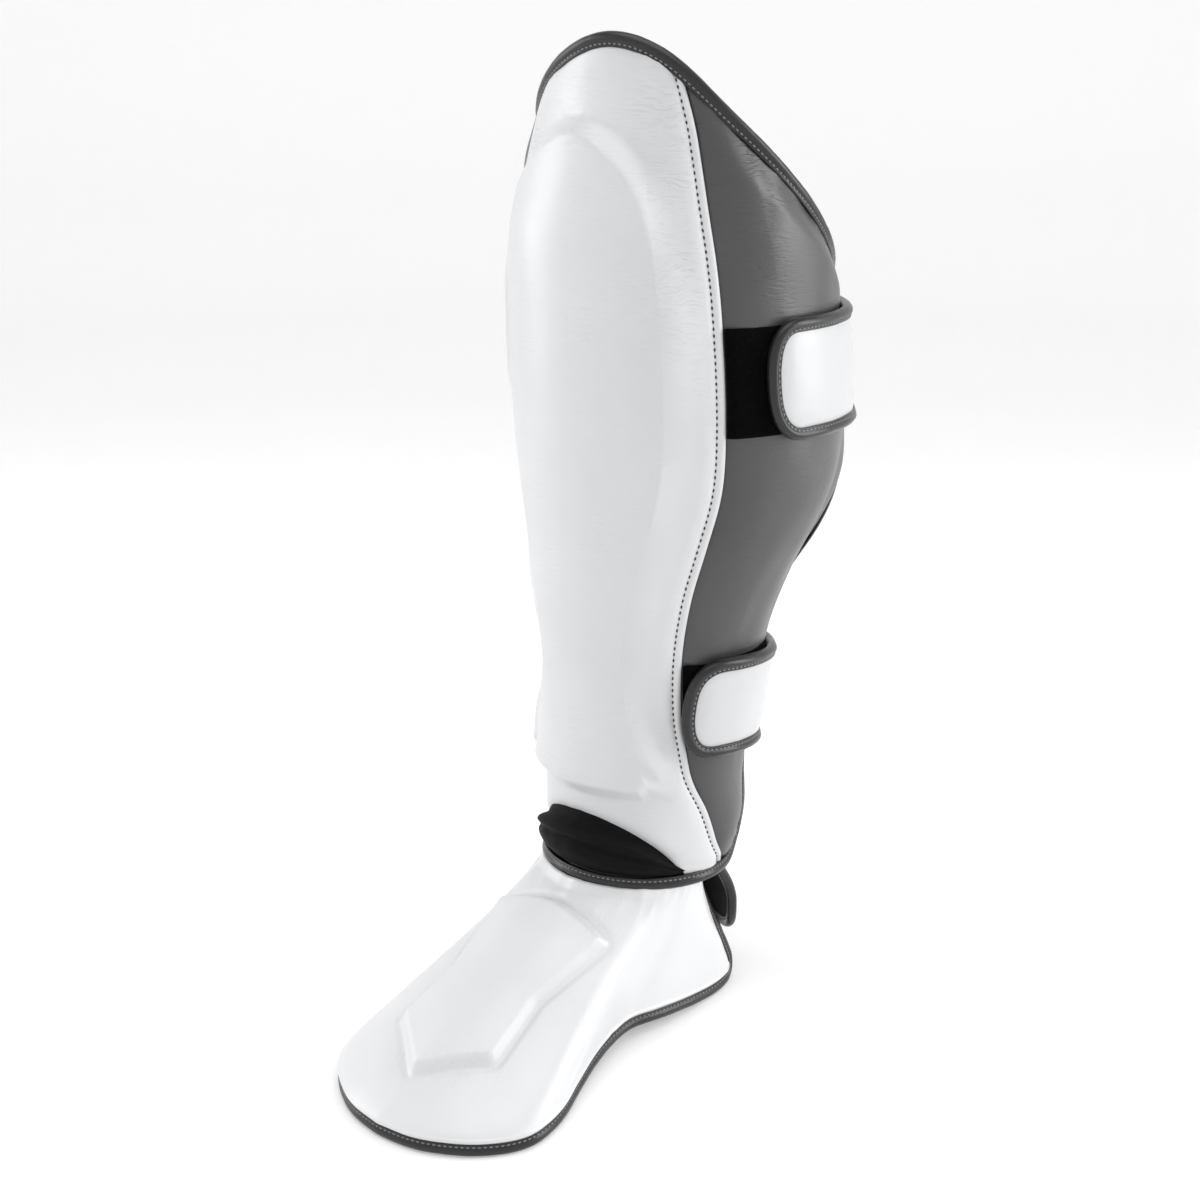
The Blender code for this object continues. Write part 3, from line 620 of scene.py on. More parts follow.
# Distances of the rows and columns from a bound edge
WING_END_ROWS = (0.0, 0.001, 0.0025, 0.0045)
WING_REAR_COLUMNS = (0.0, 0.001, 0.0022, 0.004, 0.006)

# Rear edge: share of the way up it, degrees from the front
REAR_EDGE = (
    (0.00, 117.0),
    (0.04, 122.0),
    (0.13, 127.0),
    (0.25, 137.0),
    (0.38, 141.0),
    (0.53, 134.0),
    (0.68, 132.5),
    (0.82, 138.0),
    (1.00, 143.0),
)

# Front edge under the fold: distance back from the seam, rise of the leather's face
WING_FRONT = (
    (0.0003, -0.0021),
    (0.0010, -0.0019),
    (0.0018, -0.0014),
    (0.0030, -0.0009),
    (0.0050, -0.0004),
    (0.0080, 0.0001),
    (0.0140, 0.0006),
    (0.0220, 0.0004),
    (0.0300, 0.0000),
)

REAR_BOTTOM = ring_top(REAR_EDGE[0][1])
REAR_TOP = leather_top(TOP_EDGE[-1][0])


def rear_flare(share):
    """How far the rear edges stand out, between the two straps."""
    size, middle, reach = WING_FLARE
    return size * fade(np.abs(share - middle), reach)


def wing_place(u, v, side):
    """Angle and height on a wing: u from its seam to its rear edge, v from bottom to top."""
    seam_angle, seam_z = seam_place(v, side)
    rear_angle = along(REAR_EDGE, v) + degrees_for(EDGE_TUCK, RING_HEIGHT)
    rear = (rear_angle, REAR_BOTTOM + (REAR_TOP - REAR_BOTTOM) * v)
    low_start, low_end = SEAM[0][1], REAR_EDGE[0][1]
    top_start, top_end = SEAM[-1][1], TOP_EDGE[-1][0]
    seam_low = panel_bottom(low_start)
    low = (low_start + (low_end - low_start) * u, seam_low * (1.0 - u) + REAR_BOTTOM * u)
    top_degrees = top_start + (top_end - top_start) * u
    top = (top_degrees, leather_top(side * top_degrees))
    corners = (
        (low_start, seam_low),
        (low_end, REAR_BOTTOM),
        (top_start, leather_top(side * top_start)),
        (top_end, leather_top(side * top_end)),
    )
    place = []
    for axis, seam in enumerate((seam_angle, seam_z)):
        sides = seam * (1 - u) + rear[axis] * u + low[axis] * (1 - v) + top[axis] * v
        bilinear = (
            corners[0][axis] * (1 - u) * (1 - v)
            + corners[1][axis] * u * (1 - v)
            + corners[2][axis] * (1 - u) * v
            + corners[3][axis] * u * v
        )
        place.append(sides - bilinear)
    degrees, z = place
    return degrees, z + EDGE_TUCK * (2.0 * v - 1.0)


def wing(side):
    """Outer and inner grids of a wing, columns running towards +X round the front."""
    front = np.array([at for at, _ in WING_FRONT])
    height = REAR_TOP - REAR_BOTTOM
    v = graded(height, WING_END_ROWS, WING_END_ROWS, 176)[:, None] / height
    seam_angle, seam_z = seam_place(v, side)
    rear_angle = along(REAR_EDGE, v)
    middle_z = (seam_z + REAR_BOTTOM + height * v) / 2
    width = np.radians(rear_angle - seam_angle) * form(middle_z)[1]
    u = graded(width[:, 0], front, WING_REAR_COLUMNS, 54) / width
    degrees, z = wing_place(u, v, side)
    radius = form(z)[1]
    distance = u * width
    to_rear = (1.0 - u) * width
    to_top = leather_top(side * degrees) + EDGE_TUCK - z
    to_low = z - ring_top(degrees) + EDGE_TUCK
    pull = fade(distance - 0.002, 0.015) * WING_PUCKER * ripple(z / 0.006, distance / 0.02, 5.0 + side)
    top_pull = fade(to_top, 0.03) * WING_TOP_PUCKER * ripple(degrees / 5.0, z / 0.03, 11.0 + side)
    soft = WING_UNEVEN * ripple(degrees / 16.0, z / 0.035, 17.0 + side) * (1.0 - fade(to_rear, 0.02))
    low_full, high_full, above = WING_FULLNESS
    full = low_full + (high_full - low_full) * (1.0 - fade(z - above, 0.05))
    held = np.maximum(fade(to_top, 0.018), fade(to_rear, 0.022))
    full = full * (1.0 - held) * (1.0 - fade(distance, 0.03))
    flare = rear_flare(v) * fade(to_rear, 0.018)
    out = along(WING_FRONT, distance) + full + flare + pull + top_pull + soft
    out = out - np.maximum(roll(to_top, WING_EDGE_ROLL), roll(to_rear, WING_EDGE_ROLL))
    out = out - roll(to_low, WING_LOW_ROLL)
    rear_taper, top_taper, low_taper = WING_TAPER
    thin = np.maximum(fade(1.0 - u, rear_taper), np.maximum(fade(1.0 - v, top_taper), fade(v, low_taper)))
    wall = WING_WALL - (WING_WALL - EDGE_WALL) * thin
    outer = on_leg(side * degrees, z, out)
    pressed = np.maximum(roll(to_top, INNER_ROLL), roll(to_rear, INNER_ROLL))
    inner = on_leg(side * degrees, z, flare - wall + np.maximum(pressed, roll(to_low, INNER_ROLL)))
    start, reach = WING_CREASED_ABOVE
    high = 1.0 - fade(z - start, reach)
    crease = 0.12 + high * (0.35 + 0.5 * fade(distance, 0.05) + 0.4 * fade(to_top, 0.03))
    across = side * np.radians(degrees) * radius
    grids = [outer, inner, across, z, crease]
    if side < 0:
        grids = [grid[:, ::-1] for grid in grids]
    return grids


grey_leather = leather(
    "grey_leather",
    (0.052, 0.052, 0.054),
    (0.037, 0.037, 0.039),
    (0.34, 0.44),
    0.3,
    {"Grain Depth": 0.02, "Crease Depth": 0.24, "Crease Everywhere": 0.14},
)
for name, side in (("outer", 1.0), ("inner", -1.0)):
    piece = add_piece(
        "grey_wing_" + name,
        shell("grey_wing_" + name, *wing(side)),
        (grey_leather, lining),
        ("wing_" + name,),
    )


# Ankle gusset
# Black stretch neoprene that lets the ankle bend. It bulges out of the gap between the panel's lower edge
# and the ankle ring, with a thick rolled lip along its top and soft folds towards the outer side.

GUSSET_WALL = 0.0055
GUSSET_BULGE = 0.0105
GUSSET_DEGREES = 76.0
GUSSET_TUCK = 0.005
GUSSET_FOLD = 0.0007
GUSSET_WRINKLE = 0.0005
FOLD_MIDDLE = 38.0
FOLD_REACH = 17.0
UNDERCUT = 0.0035

# Profile from the ring to the panel: share of the way up, share of the bulge
GUSSET_PROFILE = (
    (0.00, -0.10),
    (0.10, 0.20),
    (0.22, 0.52),
    (0.36, 0.76),
    (0.50, 0.90),
    (0.60, 0.92),
    (0.67, 0.84),
    (0.73, 0.92),
    (0.82, 1.08),
    (0.90, 1.05),
    (0.96, 0.82),
    (1.00, 0.40),
)


def gusset():
    """Grids of the gusset; its last rows run up behind the panel."""
    tucked = np.array((0.25, 0.6, 1.0))
    v = np.concatenate((np.linspace(0.0, 1.0, 34), np.ones(3)))[:, None]
    behind = np.concatenate((np.zeros(34), tucked))[:, None]
    degrees = np.linspace(-GUSSET_DEGREES, GUSSET_DEGREES, 150)[None, :]
    low = ring_top(degrees) - EDGE_TUCK
    high = panel_bottom(degrees) - 0.0006
    z = low + (high - low) * v + GUSSET_TUCK * behind
    share = (high - low) / GUSSET_HEIGHT
    free = np.sin(math.pi * v)
    folded = fade(np.abs(degrees - FOLD_MIDDLE), FOLD_REACH)
    folds = np.sin((degrees - 30.0) / 5.2 - v * 3.2) * folded * free
    wrinkle = GUSSET_WRINKLE * ripple(degrees / 7.0, v * 3.0, 23.0) * free
    out = GUSSET_BULGE * along(GUSSET_PROFILE, v) * share - UNDERCUT + GUSSET_FOLD * folds + wrinkle
    out = out - 0.0012 * fade(v, 0.12) - 0.0025 * behind
    inner_out = GUSSET_BULGE * np.sin(math.pi * v**1.7) * share - UNDERCUT - GUSSET_WALL + 0.001 * behind
    across = np.radians(degrees) * form(z)[1]
    return on_leg(degrees, z, out), on_leg(degrees, z, inner_out), across, z, np.zeros(z.shape)


neoprene = fabric("neoprene", (0.007, 0.007, 0.007), (0.004, 0.004, 0.004), 0.62, 0.07, 1300.0, 0.00012)
piece = add_piece(
    "neoprene_gusset",
    shell("neoprene_gusset", *gusset()),
    (neoprene, lining),
    ("ankle_gusset",),
)


# Instep guard
# One moulded foam shell under white leather, from the ankle ring out over the top of the foot, with a
# five-sided shield raised on it. It has no sole: its rim stands on the ground all round.

FOOT_LENGTH = 0.2155
FOOT_HALF_WIDTH = 0.0584
ARCH_RISE = 0.006
TOE_OUT = 0.003
HEEL_Y = 0.041
INSTEP_RADIUS = 0.047
INSTEP_WALL = 0.010
INSTEP_TAPER = (0.25, 0.2, 0.1)
INSTEP_UNEVEN = 0.0004
INSTEP_FOLDS = 0.0007
INSTEP_CROWN = 0.0008
INSTEP_EDGE_ROLL = (0.008, 0.0013)
INSTEP_FALL = 0.13
INSTEP_AROUND = 0.14
RING_REACH = 0.0022
SHIELD_LIFT = 0.0045
SHIELD_STEP = 0.0042
SHIELD_GROOVE = 0.0007
RIM_SINK = 0.0003
GAP = 0.0003
UPRIGHT_SHARE = 1.0 / 16

# Column, degrees round the ankle, share of INSTEP_RADIUS, then the rim's x, y and height as shares of
# FOOT_HALF_WIDTH, of FOOT_LENGTH from the heel, and of ARCH_RISE
INSTEP_COLUMNS = (
    (0.00, 0.0, 1.00, 0.000, 1.000, 0.00),
    (0.09, 12.0, 1.00, 0.317, 0.987, 0.00),
    (0.17, 22.0, 1.00, 0.565, 0.957, 0.00),
    (0.24, 30.0, 1.00, 0.779, 0.916, 0.00),
    (0.30, 37.0, 1.00, 0.942, 0.862, 0.00),
    (0.35, 42.0, 1.00, 1.000, 0.812, 0.00),
    (0.43, 50.0, 1.00, 0.950, 0.722, 0.00),
    (0.51, 57.0, 1.00, 0.805, 0.624, 0.17),
    (0.59, 64.0, 1.00, 0.682, 0.531, 0.50),
    (0.66, 70.0, 1.00, 0.611, 0.448, 0.83),
    (0.73, 75.0, 1.00, 0.586, 0.371, 1.00),
    (0.79, 80.0, 0.99, 0.637, 0.295, 0.83),
    (0.86, 86.0, 0.96, 0.659, 0.200, 0.40),
    (0.92, 92.0, 0.91, 0.652, 0.093, 0.00),
    (0.97, 98.0, 0.83, 0.620, 0.028, 0.00),
    (1.00, 105.0, 0.74, 0.548, -0.010, 0.00),
)

# Profile from the ankle down to the rim: inner control points, share of the way out and of the height
INSTEP_SHOULDER = (0.34, 0.59)
INSTEP_DOME = (1.00, 0.07)

# Raised shield: x and y as shares of FOOT_HALF_WIDTH and of FOOT_LENGTH
SHIELD = (
    (0.000, 0.437),
    (0.569, 0.451),
    (0.440, 0.640),
    (0.500, 0.793),
    (0.000, 0.897),
)


def instep_ends(column):
    """Top points under the ankle ring and centres of the rim's binding, for columns from -1 to 1."""
    side = np.where(column < 0, -1.0, 1.0)
    degrees, radius, rim_x, rim_y, rim_z = (along(INSTEP_COLUMNS, np.abs(column), k) for k in range(1, 6))
    angle = np.radians(degrees)
    reach = radius * INSTEP_RADIUS
    top = np.stack(
        (
            side * reach * np.sin(angle),
            form(RING_HEIGHT)[0] - reach * np.cos(angle),
            ring_height(degrees) - BINDING_RADIUS - GAP,
        ),
        axis=-1,
    )
    rim = np.stack(
        (
            side * rim_x * FOOT_HALF_WIDTH + TOE_OUT * rim_y**2,
            HEEL_Y - rim_y * FOOT_LENGTH,
            BINDING_RADIUS - RIM_SINK + rim_z * ARCH_RISE,
        ),
        axis=-1,
    )
    return top, rim


def rim_outward(column):
    """Level direction out of the rim."""
    right, left = np.minimum(column + 0.01, 1.0), np.maximum(column - 0.01, -1.0)
    run = instep_ends(right)[1] - instep_ends(left)[1]
    out = np.stack((run[..., 1], -run[..., 0], np.zeros(run.shape[:-1])), axis=-1)
    return out / np.linalg.norm(out, axis=-1, keepdims=True)


def instep_base(column, v):
    """The instep's face before its shield is raised: v from the ankle to the rim."""
    column, v = np.broadcast_arrays(np.asarray(column, float), np.asarray(v, float))
    top, rim = instep_ends(column)
    rim = rim + rim_outward(column) * EDGE_WALL / 2
    rim[..., 2] += BINDING_RADIUS + GAP
    v = v[..., None]
    rows_above = 1.0 - UPRIGHT_SHARE
    upright = np.array((0.0, 0.0, EDGE_WALL / 2))
    low = rim + upright * (1.0 - v) / UPRIGHT_SHARE
    rim = rim + upright
    v = v / rows_above
    height = top[..., 2] - rim[..., 2]
    shoulder = top + (rim - top) * INSTEP_SHOULDER[0]
    dome = top + (rim - top) * INSTEP_DOME[0]
    shoulder[..., 2] = rim[..., 2] + height * INSTEP_SHOULDER[1]
    dome[..., 2] = rim[..., 2] + height * INSTEP_DOME[1]
    s = 1.0 - v
    curve = top * s**3 + shoulder * 3 * s * s * v + dome * 3 * s * v * v + rim * v**3
    return np.where(v > 1.0, low, curve)


def unit(vectors):
    return vectors / np.linalg.norm(vectors, axis=-1, keepdims=True)


def instep_normal(column, v):
    small = 0.012
    right, left = np.minimum(column + small, 1.0), np.maximum(column - small, -1.0)
    lower, upper = np.minimum(v + small, 1.0), np.maximum(v - small, 0.0)
    across = instep_base(right, v) - instep_base(left, v)
    down = instep_base(column, lower) - instep_base(column, upper)
    return unit(np.cross(down, across))


def shield_depth(points):
    """Distance inside the shield's outline in plan, negative outside it."""
    share = (HEEL_Y - points[..., 1]) / FOOT_LENGTH
    place = np.stack((np.abs(points[..., 0] - TOE_OUT * share**2), share * FOOT_LENGTH), axis=-1)
    corners = np.array(SHIELD) * (FOOT_HALF_WIDTH, FOOT_LENGTH)
    return outline_depth(place, corners)


def instep():
    """Grids of the instep guard, rows from its rim up to the ankle."""
    column = np.linspace(-1.0, 1.0, 300)[None, :]
    v = np.concatenate((np.linspace(0.0, 0.93, 116), np.linspace(0.94, 1.0, 7)))[:, None]
    column, v = np.broadcast_arrays(column, v)
    base = instep_base(column, v)
    normal = instep_normal(column, v)
    depth = shield_depth(base)
    lift = SHIELD_LIFT * (1.0 - fade(depth + SHIELD_STEP / 2, SHIELD_STEP))
    crown = INSTEP_CROWN * (1.0 - fade(depth, 0.02)) * (depth > 0)
    soft = INSTEP_UNEVEN * ripple(column * 9.0, v * 6.0, 31.0) * np.sin(math.pi * np.clip(v, 0, 1))
    ankle_folds = INSTEP_FOLDS * fade(v, 0.22) * ripple(column * 14.0, v * 9.0, 37.0)
    low, to_side = 1.0 - v, 1.0 - np.abs(column)
    puff = 0.0006 * fade(low - 0.05, 0.06) * (1.0 - fade(low, 0.05))
    groove = SHIELD_GROOVE * fade(np.abs(depth + 0.0034), 0.0028)
    pressed = roll(low * INSTEP_FALL, INSTEP_EDGE_ROLL)
    pressed = np.maximum(pressed, roll(to_side * INSTEP_AROUND, INSTEP_EDGE_ROLL))
    outer = base + normal * (lift + crown + soft + ankle_folds + puff - groove - pressed)[..., None]
    outer[..., 2] += RING_REACH * fade(v, 0.03)
    rim, ankle, side = INSTEP_TAPER
    full = 1.0 - np.maximum(np.maximum(fade(low, rim), fade(v, ankle)), fade(to_side, side))
    wall = EDGE_WALL + (INSTEP_WALL - EDGE_WALL) * full
    inner = base + normal * (pressed - wall)[..., None]
    inner[..., 2] += RING_REACH * fade(v, 0.03)
    around = np.cumsum(np.linalg.norm(np.diff(outer, axis=1, prepend=outer[:, :1]), axis=-1), axis=1)
    fall = np.cumsum(np.linalg.norm(np.diff(outer, axis=0, prepend=outer[:1]), axis=-1), axis=0)
    beside = 0.5 * fade(np.abs(v - 0.35), 0.35) * (column > 0.25)
    # Creases gather round the shield's foot, so the leather's crease darkening there is painted shade
    # along its groove
    crease = 0.2 + 0.7 * fade(np.abs(depth + 0.003), 0.012) + beside
    grids = [outer + ORIGIN, inner + ORIGIN, around[60:61, :] * np.ones(v.shape), -fall, crease]
    return [grid[::-1] for grid in grids]


instep_leather = leather(
    "instep_leather",
    (0.74, 0.745, 0.755),
    (0.65, 0.655, 0.67),
    (0.30, 0.38),
    0.4,
    {
        "Grain Depth": 0.015,
        "Crease Across": 600.0,
        "Crease Up": 240.0,
        "Crease Depth": 0.09,
        "Crease Everywhere": 0.15,
    },
)
piece = add_piece(
    "white_instep",
    shell("white_instep", *instep()),
    (instep_leather, lining),
    ("instep_pad",),
)


# Leg binding
# One strip of charcoal leather folded round every free edge of the leg part: over the top, down both rear
# edges and round the ankle, where its ends meet beside the instep.

STITCH_LINE = 0.0023
STITCH_RISE = 0.0024
BINDING_STEP = 0.0018

# Section of the folded strip: outwards from the leather's edge, then up from the middle of its wall
BINDING_SECTION = (
    (-0.0038, 0.0012),
    (-0.0039, 0.0018),
    (-0.0036, 0.0023),
    (-0.0030, 0.0025),
    (-0.0023, 0.0022),
    (-0.0017, 0.0026),
    (-0.0010, 0.0031),
    (0.0000, 0.0033),
    (0.0010, 0.0031),
    (0.0020, 0.0024),
    (0.0027, 0.0013),
    (0.0030, 0.0000),
    (0.0027, -0.0013),
    (0.0020, -0.0024),
    (0.0008, -0.0030),
    (-0.0010, -0.0029),
    (-0.0023, -0.0022),
    (-0.0030, -0.0025),
    (-0.0036, -0.0023),
    (-0.0039, -0.0018),
    (-0.0038, -0.0012),
    (-0.0010, -0.0014),
    (0.0010, -0.0014),
    (0.0019, -0.0008),
    (0.0022, 0.0000),
    (0.0019, 0.0008),
    (0.0010, 0.0014),
    (-0.0010, 0.0014),
)


def resample(points, step, closed):
    """Rows at even steps along a path, whose first three columns are its points."""
    if closed:
        points = np.concatenate((points, points[:1]))
    run = np.concatenate(([0.0], np.cumsum(np.linalg.norm(np.diff(points[:, :3], axis=0), axis=1))))
    count = max(int(round(run[-1] / step)), 8)
    at = np.linspace(0.0, run[-1], count + 1)
    made = np.stack([np.interp(at, run, points[:, axis]) for axis in range(points.shape[1])], axis=1)
    return made[:-1] if closed else made


def relax(points, rounds, closed):
    """The path with its corners eased."""
    for _ in range(rounds):
        before, after = np.roll(points, 1, axis=0), np.roll(points, -1, axis=0)
        eased = points * 0.5 + (before + after) * 0.25
        if not closed:
            eased[0], eased[-1] = points[0], points[-1]
        points = eased
    return points


def run_of(points, closed):
    """Direction of a path at each of its points."""
    ahead = np.roll(points, -1, axis=0) - np.roll(points, 1, axis=0)
    if not closed:
        ahead[0], ahead[-1] = points[1] - points[0], points[-1] - points[-2]
    return unit(ahead)


def strip_frame(points, facing, closed):
    """Direction out of the leather's edge and direction out of its face, at each point of a path."""
    run = run_of(points, closed)
    face = unit(facing - run * (facing * run).sum(axis=1, keepdims=True))
    return np.cross(run, face), face


def folded_strip(name, points, facing, closed, scale=1.0, seed=0.0, floor=None):
    """Folded binding swept along a path, a little uneven, with its length as UV."""
    out, face = strip_frame(points, facing, closed)
    section = np.array(BINDING_SECTION) * scale
    count, ring = len(points), len(section)
    length = np.arange(count) * np.linalg.norm(points[1] - points[0])
    swell = 1.0 + 0.035 * ripple(length / 0.011, 0.0, seed)
    swell = swell + 0.02 * ripple(length / 0.004, 0.0, seed + 5.0)
    offsets = section[None, :, :] * swell[:, None, None]
    rings = points[:, None] + out[:, None] * offsets[..., :1] + face[:, None] * offsets[..., 1:]
    if floor is not None:
        rings[..., 2] = np.maximum(rings[..., 2], floor)
    around = np.concatenate(([0.0], np.cumsum(np.linalg.norm(np.diff(section, axis=0), axis=1))))
    faces = []
    for step in range(count if closed else count - 1):
        low, high = step * ring, (step + 1) % count * ring
        for corner in range(ring):
            after = (corner + 1) % ring
            faces.append((low + corner, low + after, high + after, high + corner))
    if not closed:
        faces.append(tuple(range(ring))[::-1])
        faces.append(tuple((count - 1) * ring + corner for corner in range(ring)))
    mesh = bpy.data.meshes.new(name)
    mesh.from_pydata(rings.reshape(-1, 3).tolist(), [], faces)
    corner = np.zeros(len(mesh.loops), dtype=np.int32)
    mesh.loops.foreach_get("vertex_index", corner)
    flat = np.stack((length[corner // ring], around[corner % ring]), axis=-1)
    mesh.uv_layers.new(name="UVMap").data.foreach_set("uv", flat.ravel())
    mesh.attributes.new("crease", "FLOAT", "POINT").data.foreach_set(
        "value", np.repeat(0.5 + 0.5 * ripple(length / 0.02, 0.0, seed + 9.0), ring)
    )
    mesh.shade_smooth()
    return mesh


def stitch_path(points, facing, closed, line, rise):
    """Where a row of stitches lies on a binding, and the way that it faces."""
    out, face = strip_frame(points, facing, closed)
    return points - out * line + face * rise, face


binding_leather = leather(
    "binding_leather",
    (0.016, 0.016, 0.017),
    (0.009, 0.009, 0.010),
    (0.26, 0.36),
    0.25,
    {
        "Grain Depth": 0.012,
        "Crease Across": 330.0,
        "Crease Up": 70.0,
        "Crease Depth": 0.12,
        "Crease Everywhere": 0.05,
    },
    shine=0.32,
)


def from_leg_centre(path):
    """Level direction away from the middle of the leg, at each point of a path."""
    centre = form(path[:, 2])[0] + ORIGIN[1]
    return unit(np.stack((path[:, 0] - ORIGIN[0], path[:, 1] - centre, np.zeros(len(path))), axis=1))


def leg_edge_path():
    """Centre of the folded strip round the whole leg part, and the form's outward direction there."""
    top = np.linspace(143.0, -143.0, 240)[:-1]
    share = np.linspace(0.0, 1.0, 160)[:-1]
    ring = np.linspace(-REAR_EDGE[0][1], REAR_EDGE[0][1], 140)[:-1]
    rear_height = REAR_BOTTOM + (REAR_TOP - REAR_BOTTOM) * share
    rear_angle = along(REAR_EDGE, share)
    flare = rear_flare(share)
    edge = np.concatenate(
        (
            on_leg(top, leather_top(top)),
            on_leg(-rear_angle, rear_height, flare)[::-1],
            on_leg(ring, ring_top(ring)),
            on_leg(rear_angle, rear_height, flare),
        )
    )
    edge = relax(resample(edge, BINDING_STEP, True), 12, True)
    radial = from_leg_centre(edge)
    out, _ = strip_frame(edge, radial, True)
    path = edge + out * (BINDING_RADIUS + BINDING_GAP) - radial * EDGE_WALL / 2
    path = relax(resample(path, BINDING_STEP, True), 4, True)
    return path, from_leg_centre(path)


leg_path, leg_facing = leg_edge_path()
add_piece(
    "leg_binding",
    folded_strip("leg_binding", leg_path, leg_facing, True, seed=2.0),
    (binding_leather,),
    ("shin_binding",),
)
light_rows = [
    (*stitch_path(leg_path, leg_facing, True, STITCH_LINE, STITCH_RISE), True),
    (*stitch_path(leg_path, -leg_facing, True, -STITCH_LINE, STITCH_RISE), True),
]


# Instep binding
# The same strip round the instep's rim and up its two rear edges, pressed flat where the guard stands.


def rim_path():
    """Centre of the instep's strip from its -X rear edge round the rim to its +X one, and its facing."""
    share = np.linspace(0.07, 1.0, 40)
    sides = []
    for side in (-1.0, 1.0):
        edge = instep_base(side, share)
        away = edge - instep_base(side * 0.99, share)
        away[:, 2] = 0.0
        away = unit(away)
        inside = np.stack((-away[:, 1], away[:, 0], np.zeros(len(away))), axis=1) * side
        riser = edge + away * (BINDING_RADIUS + 2 * GAP) + inside * EDGE_WALL / 2
        riser[-1, 2] = BINDING_RADIUS - RIM_SINK
        sides.append((riser, -inside))
    column = np.linspace(-1.0, 1.0, 260)
    _, rim = instep_ends(column)
    points = np.concatenate((sides[0][0], rim, sides[1][0][::-1]))
    facing = np.concatenate((sides[0][1], rim_outward(column), sides[1][1][::-1]))
    both = relax(resample(np.concatenate((points, facing), axis=1), BINDING_STEP, False), 5, False)
    return both[:, :3] + ORIGIN, unit(both[:, 3:])


instep_path, instep_facing = rim_path()
add_piece(
    "instep_rim_binding",
    folded_strip("instep_rim_binding", instep_path, instep_facing, False, seed=14.0, floor=0.0),
    (binding_leather,),
    ("instep_binding",),
)
light_rows += [
    (*stitch_path(instep_path, instep_facing, False, STITCH_LINE, STITCH_RISE), False),
    (*stitch_path(instep_path, -instep_facing, False, -STITCH_LINE, STITCH_RISE), False),
]


# Loop patches
# Two strips of black loop tape on the outer wing, from the seam to behind the straps' ends.

# Straps: height, width, angle of the free end from the front, drop of the free end
UPPER_STRAP = (0.329, 0.056, 68.0, 0.002)
LOWER_STRAP = (0.170, 0.050, 54.5, 0.009)
PATCH_WIDTH_MARGIN = 0.003
PATCH_THICKNESS = 0.0015
PATCH_END = 116.0
PATCH_EDGE_ROWS = (0.0, 0.0003, 0.0009)
NAP = 0.00018
FORM_GAP = 0.0005


def patch(height, width):
    """Grids of a loop patch, its edges pressed down by their stitching."""
    low, high = height - width / 2 + PATCH_WIDTH_MARGIN, height + width / 2 - PATCH_WIDTH_MARGIN
    v = graded(high - low, PATCH_EDGE_ROWS, PATCH_EDGE_ROWS, 46)[:, None]
    z = low + v
    start = along(SEAM, z / HEIGHT) + degrees_for(3 * GAP + 0.0006, z)
    u = np.concatenate(([0.0, 0.004], np.linspace(0.01, 0.99, 74), [0.996, 1.0]))[None, :]
    degrees = start + (PATCH_END - start) * u
    nap = NAP * ripple(degrees / 1.1, z / 0.0013, 41.0)
    edge = np.minimum(v, high - low - v)
    distance = np.radians(degrees - start) * form(z)[1]
    out = FORM_GAP + PATCH_THICKNESS + nap - 0.0008 * fade(edge, 0.0012) + 0.0004
    out = out - 0.0012 * fade(distance, 0.004)
    across = np.radians(degrees) * form(z)[1]
    return on_leg(degrees, z, out), on_leg(degrees, z, 0.0001), across, z, np.zeros(degrees.shape)


loop_tape = fabric("loop_tape", (0.004, 0.004, 0.004), (0.001, 0.001, 0.001), 0.95, 0.04, 1700.0, 0.0005)
for name, (height, width, _, _) in (("upper", UPPER_STRAP), ("lower", LOWER_STRAP)):
    add_piece(
        name + "_loop_tape",
        shell(name + "_loop_tape", *patch(height, width)),
        (loop_tape, loop_tape),
        (name + "_loop_patch",),
    )


# Closing straps
# White leather over webbing, bound all round. Each starts sewn to the inner wing, passes behind the leg
# and sticks to the loop tape with its rounded end.

STRAP_ROOT = 238.0
STRAP_THICKNESS = 0.0035
STRAP_BINDING_RADIUS = 0.0024
STRAP_CORNER = 0.018
STRAP_SLACK = 0.006
STRAP_ROUNDING = 2.5
STRAP_SCALE = 0.9
STRAP_INSET = 2 * STRAP_BINDING_RADIUS - 0.0014
STRAP_SWELL = 0.0009
STRAP_UNEVEN = 0.0003


def strap_level(degrees):
    """How far out a strap's inner face lies: on the loop tape, on the rear bindings, flatter between."""
    on_patch = 2 * FORM_GAP + PATCH_THICKNESS
    on_binding = BINDING_RADIUS - EDGE_WALL / 2 + 2 * FORM_GAP
    level = on_binding + (on_patch - on_binding) * fade(degrees - PATCH_END, 12.0)
    return level - STRAP_SLACK * fade(np.abs(degrees - 180.0), 32.0)


def strap_half(run, width, inset):
    """Half-width of a strap's outline, rounded at its free end, taken in from its edge by inset."""
    share = np.clip((run - inset) / (STRAP_CORNER - inset), 0.0, 1.0)
    return (width / 2 - inset) * (1.0 - (1.0 - share) ** STRAP_ROUNDING) ** (1.0 / STRAP_ROUNDING)


def strap_centre(degrees, height, end, drop):
    return height - drop * (1.0 - fade(degrees - end, 110.0))


strap_leather = leather(
    "strap_leather",
    (0.60, 0.605, 0.615),
    (0.52, 0.525, 0.54),
    (0.32, 0.40),
    0.2,
    {
        "Grain Depth": 0.02,
        "Crease Across": 90.0,
        "Crease Up": 260.0,
        "Crease Depth": 0.06,
        "Crease Everywhere": 0.3,
    },
)


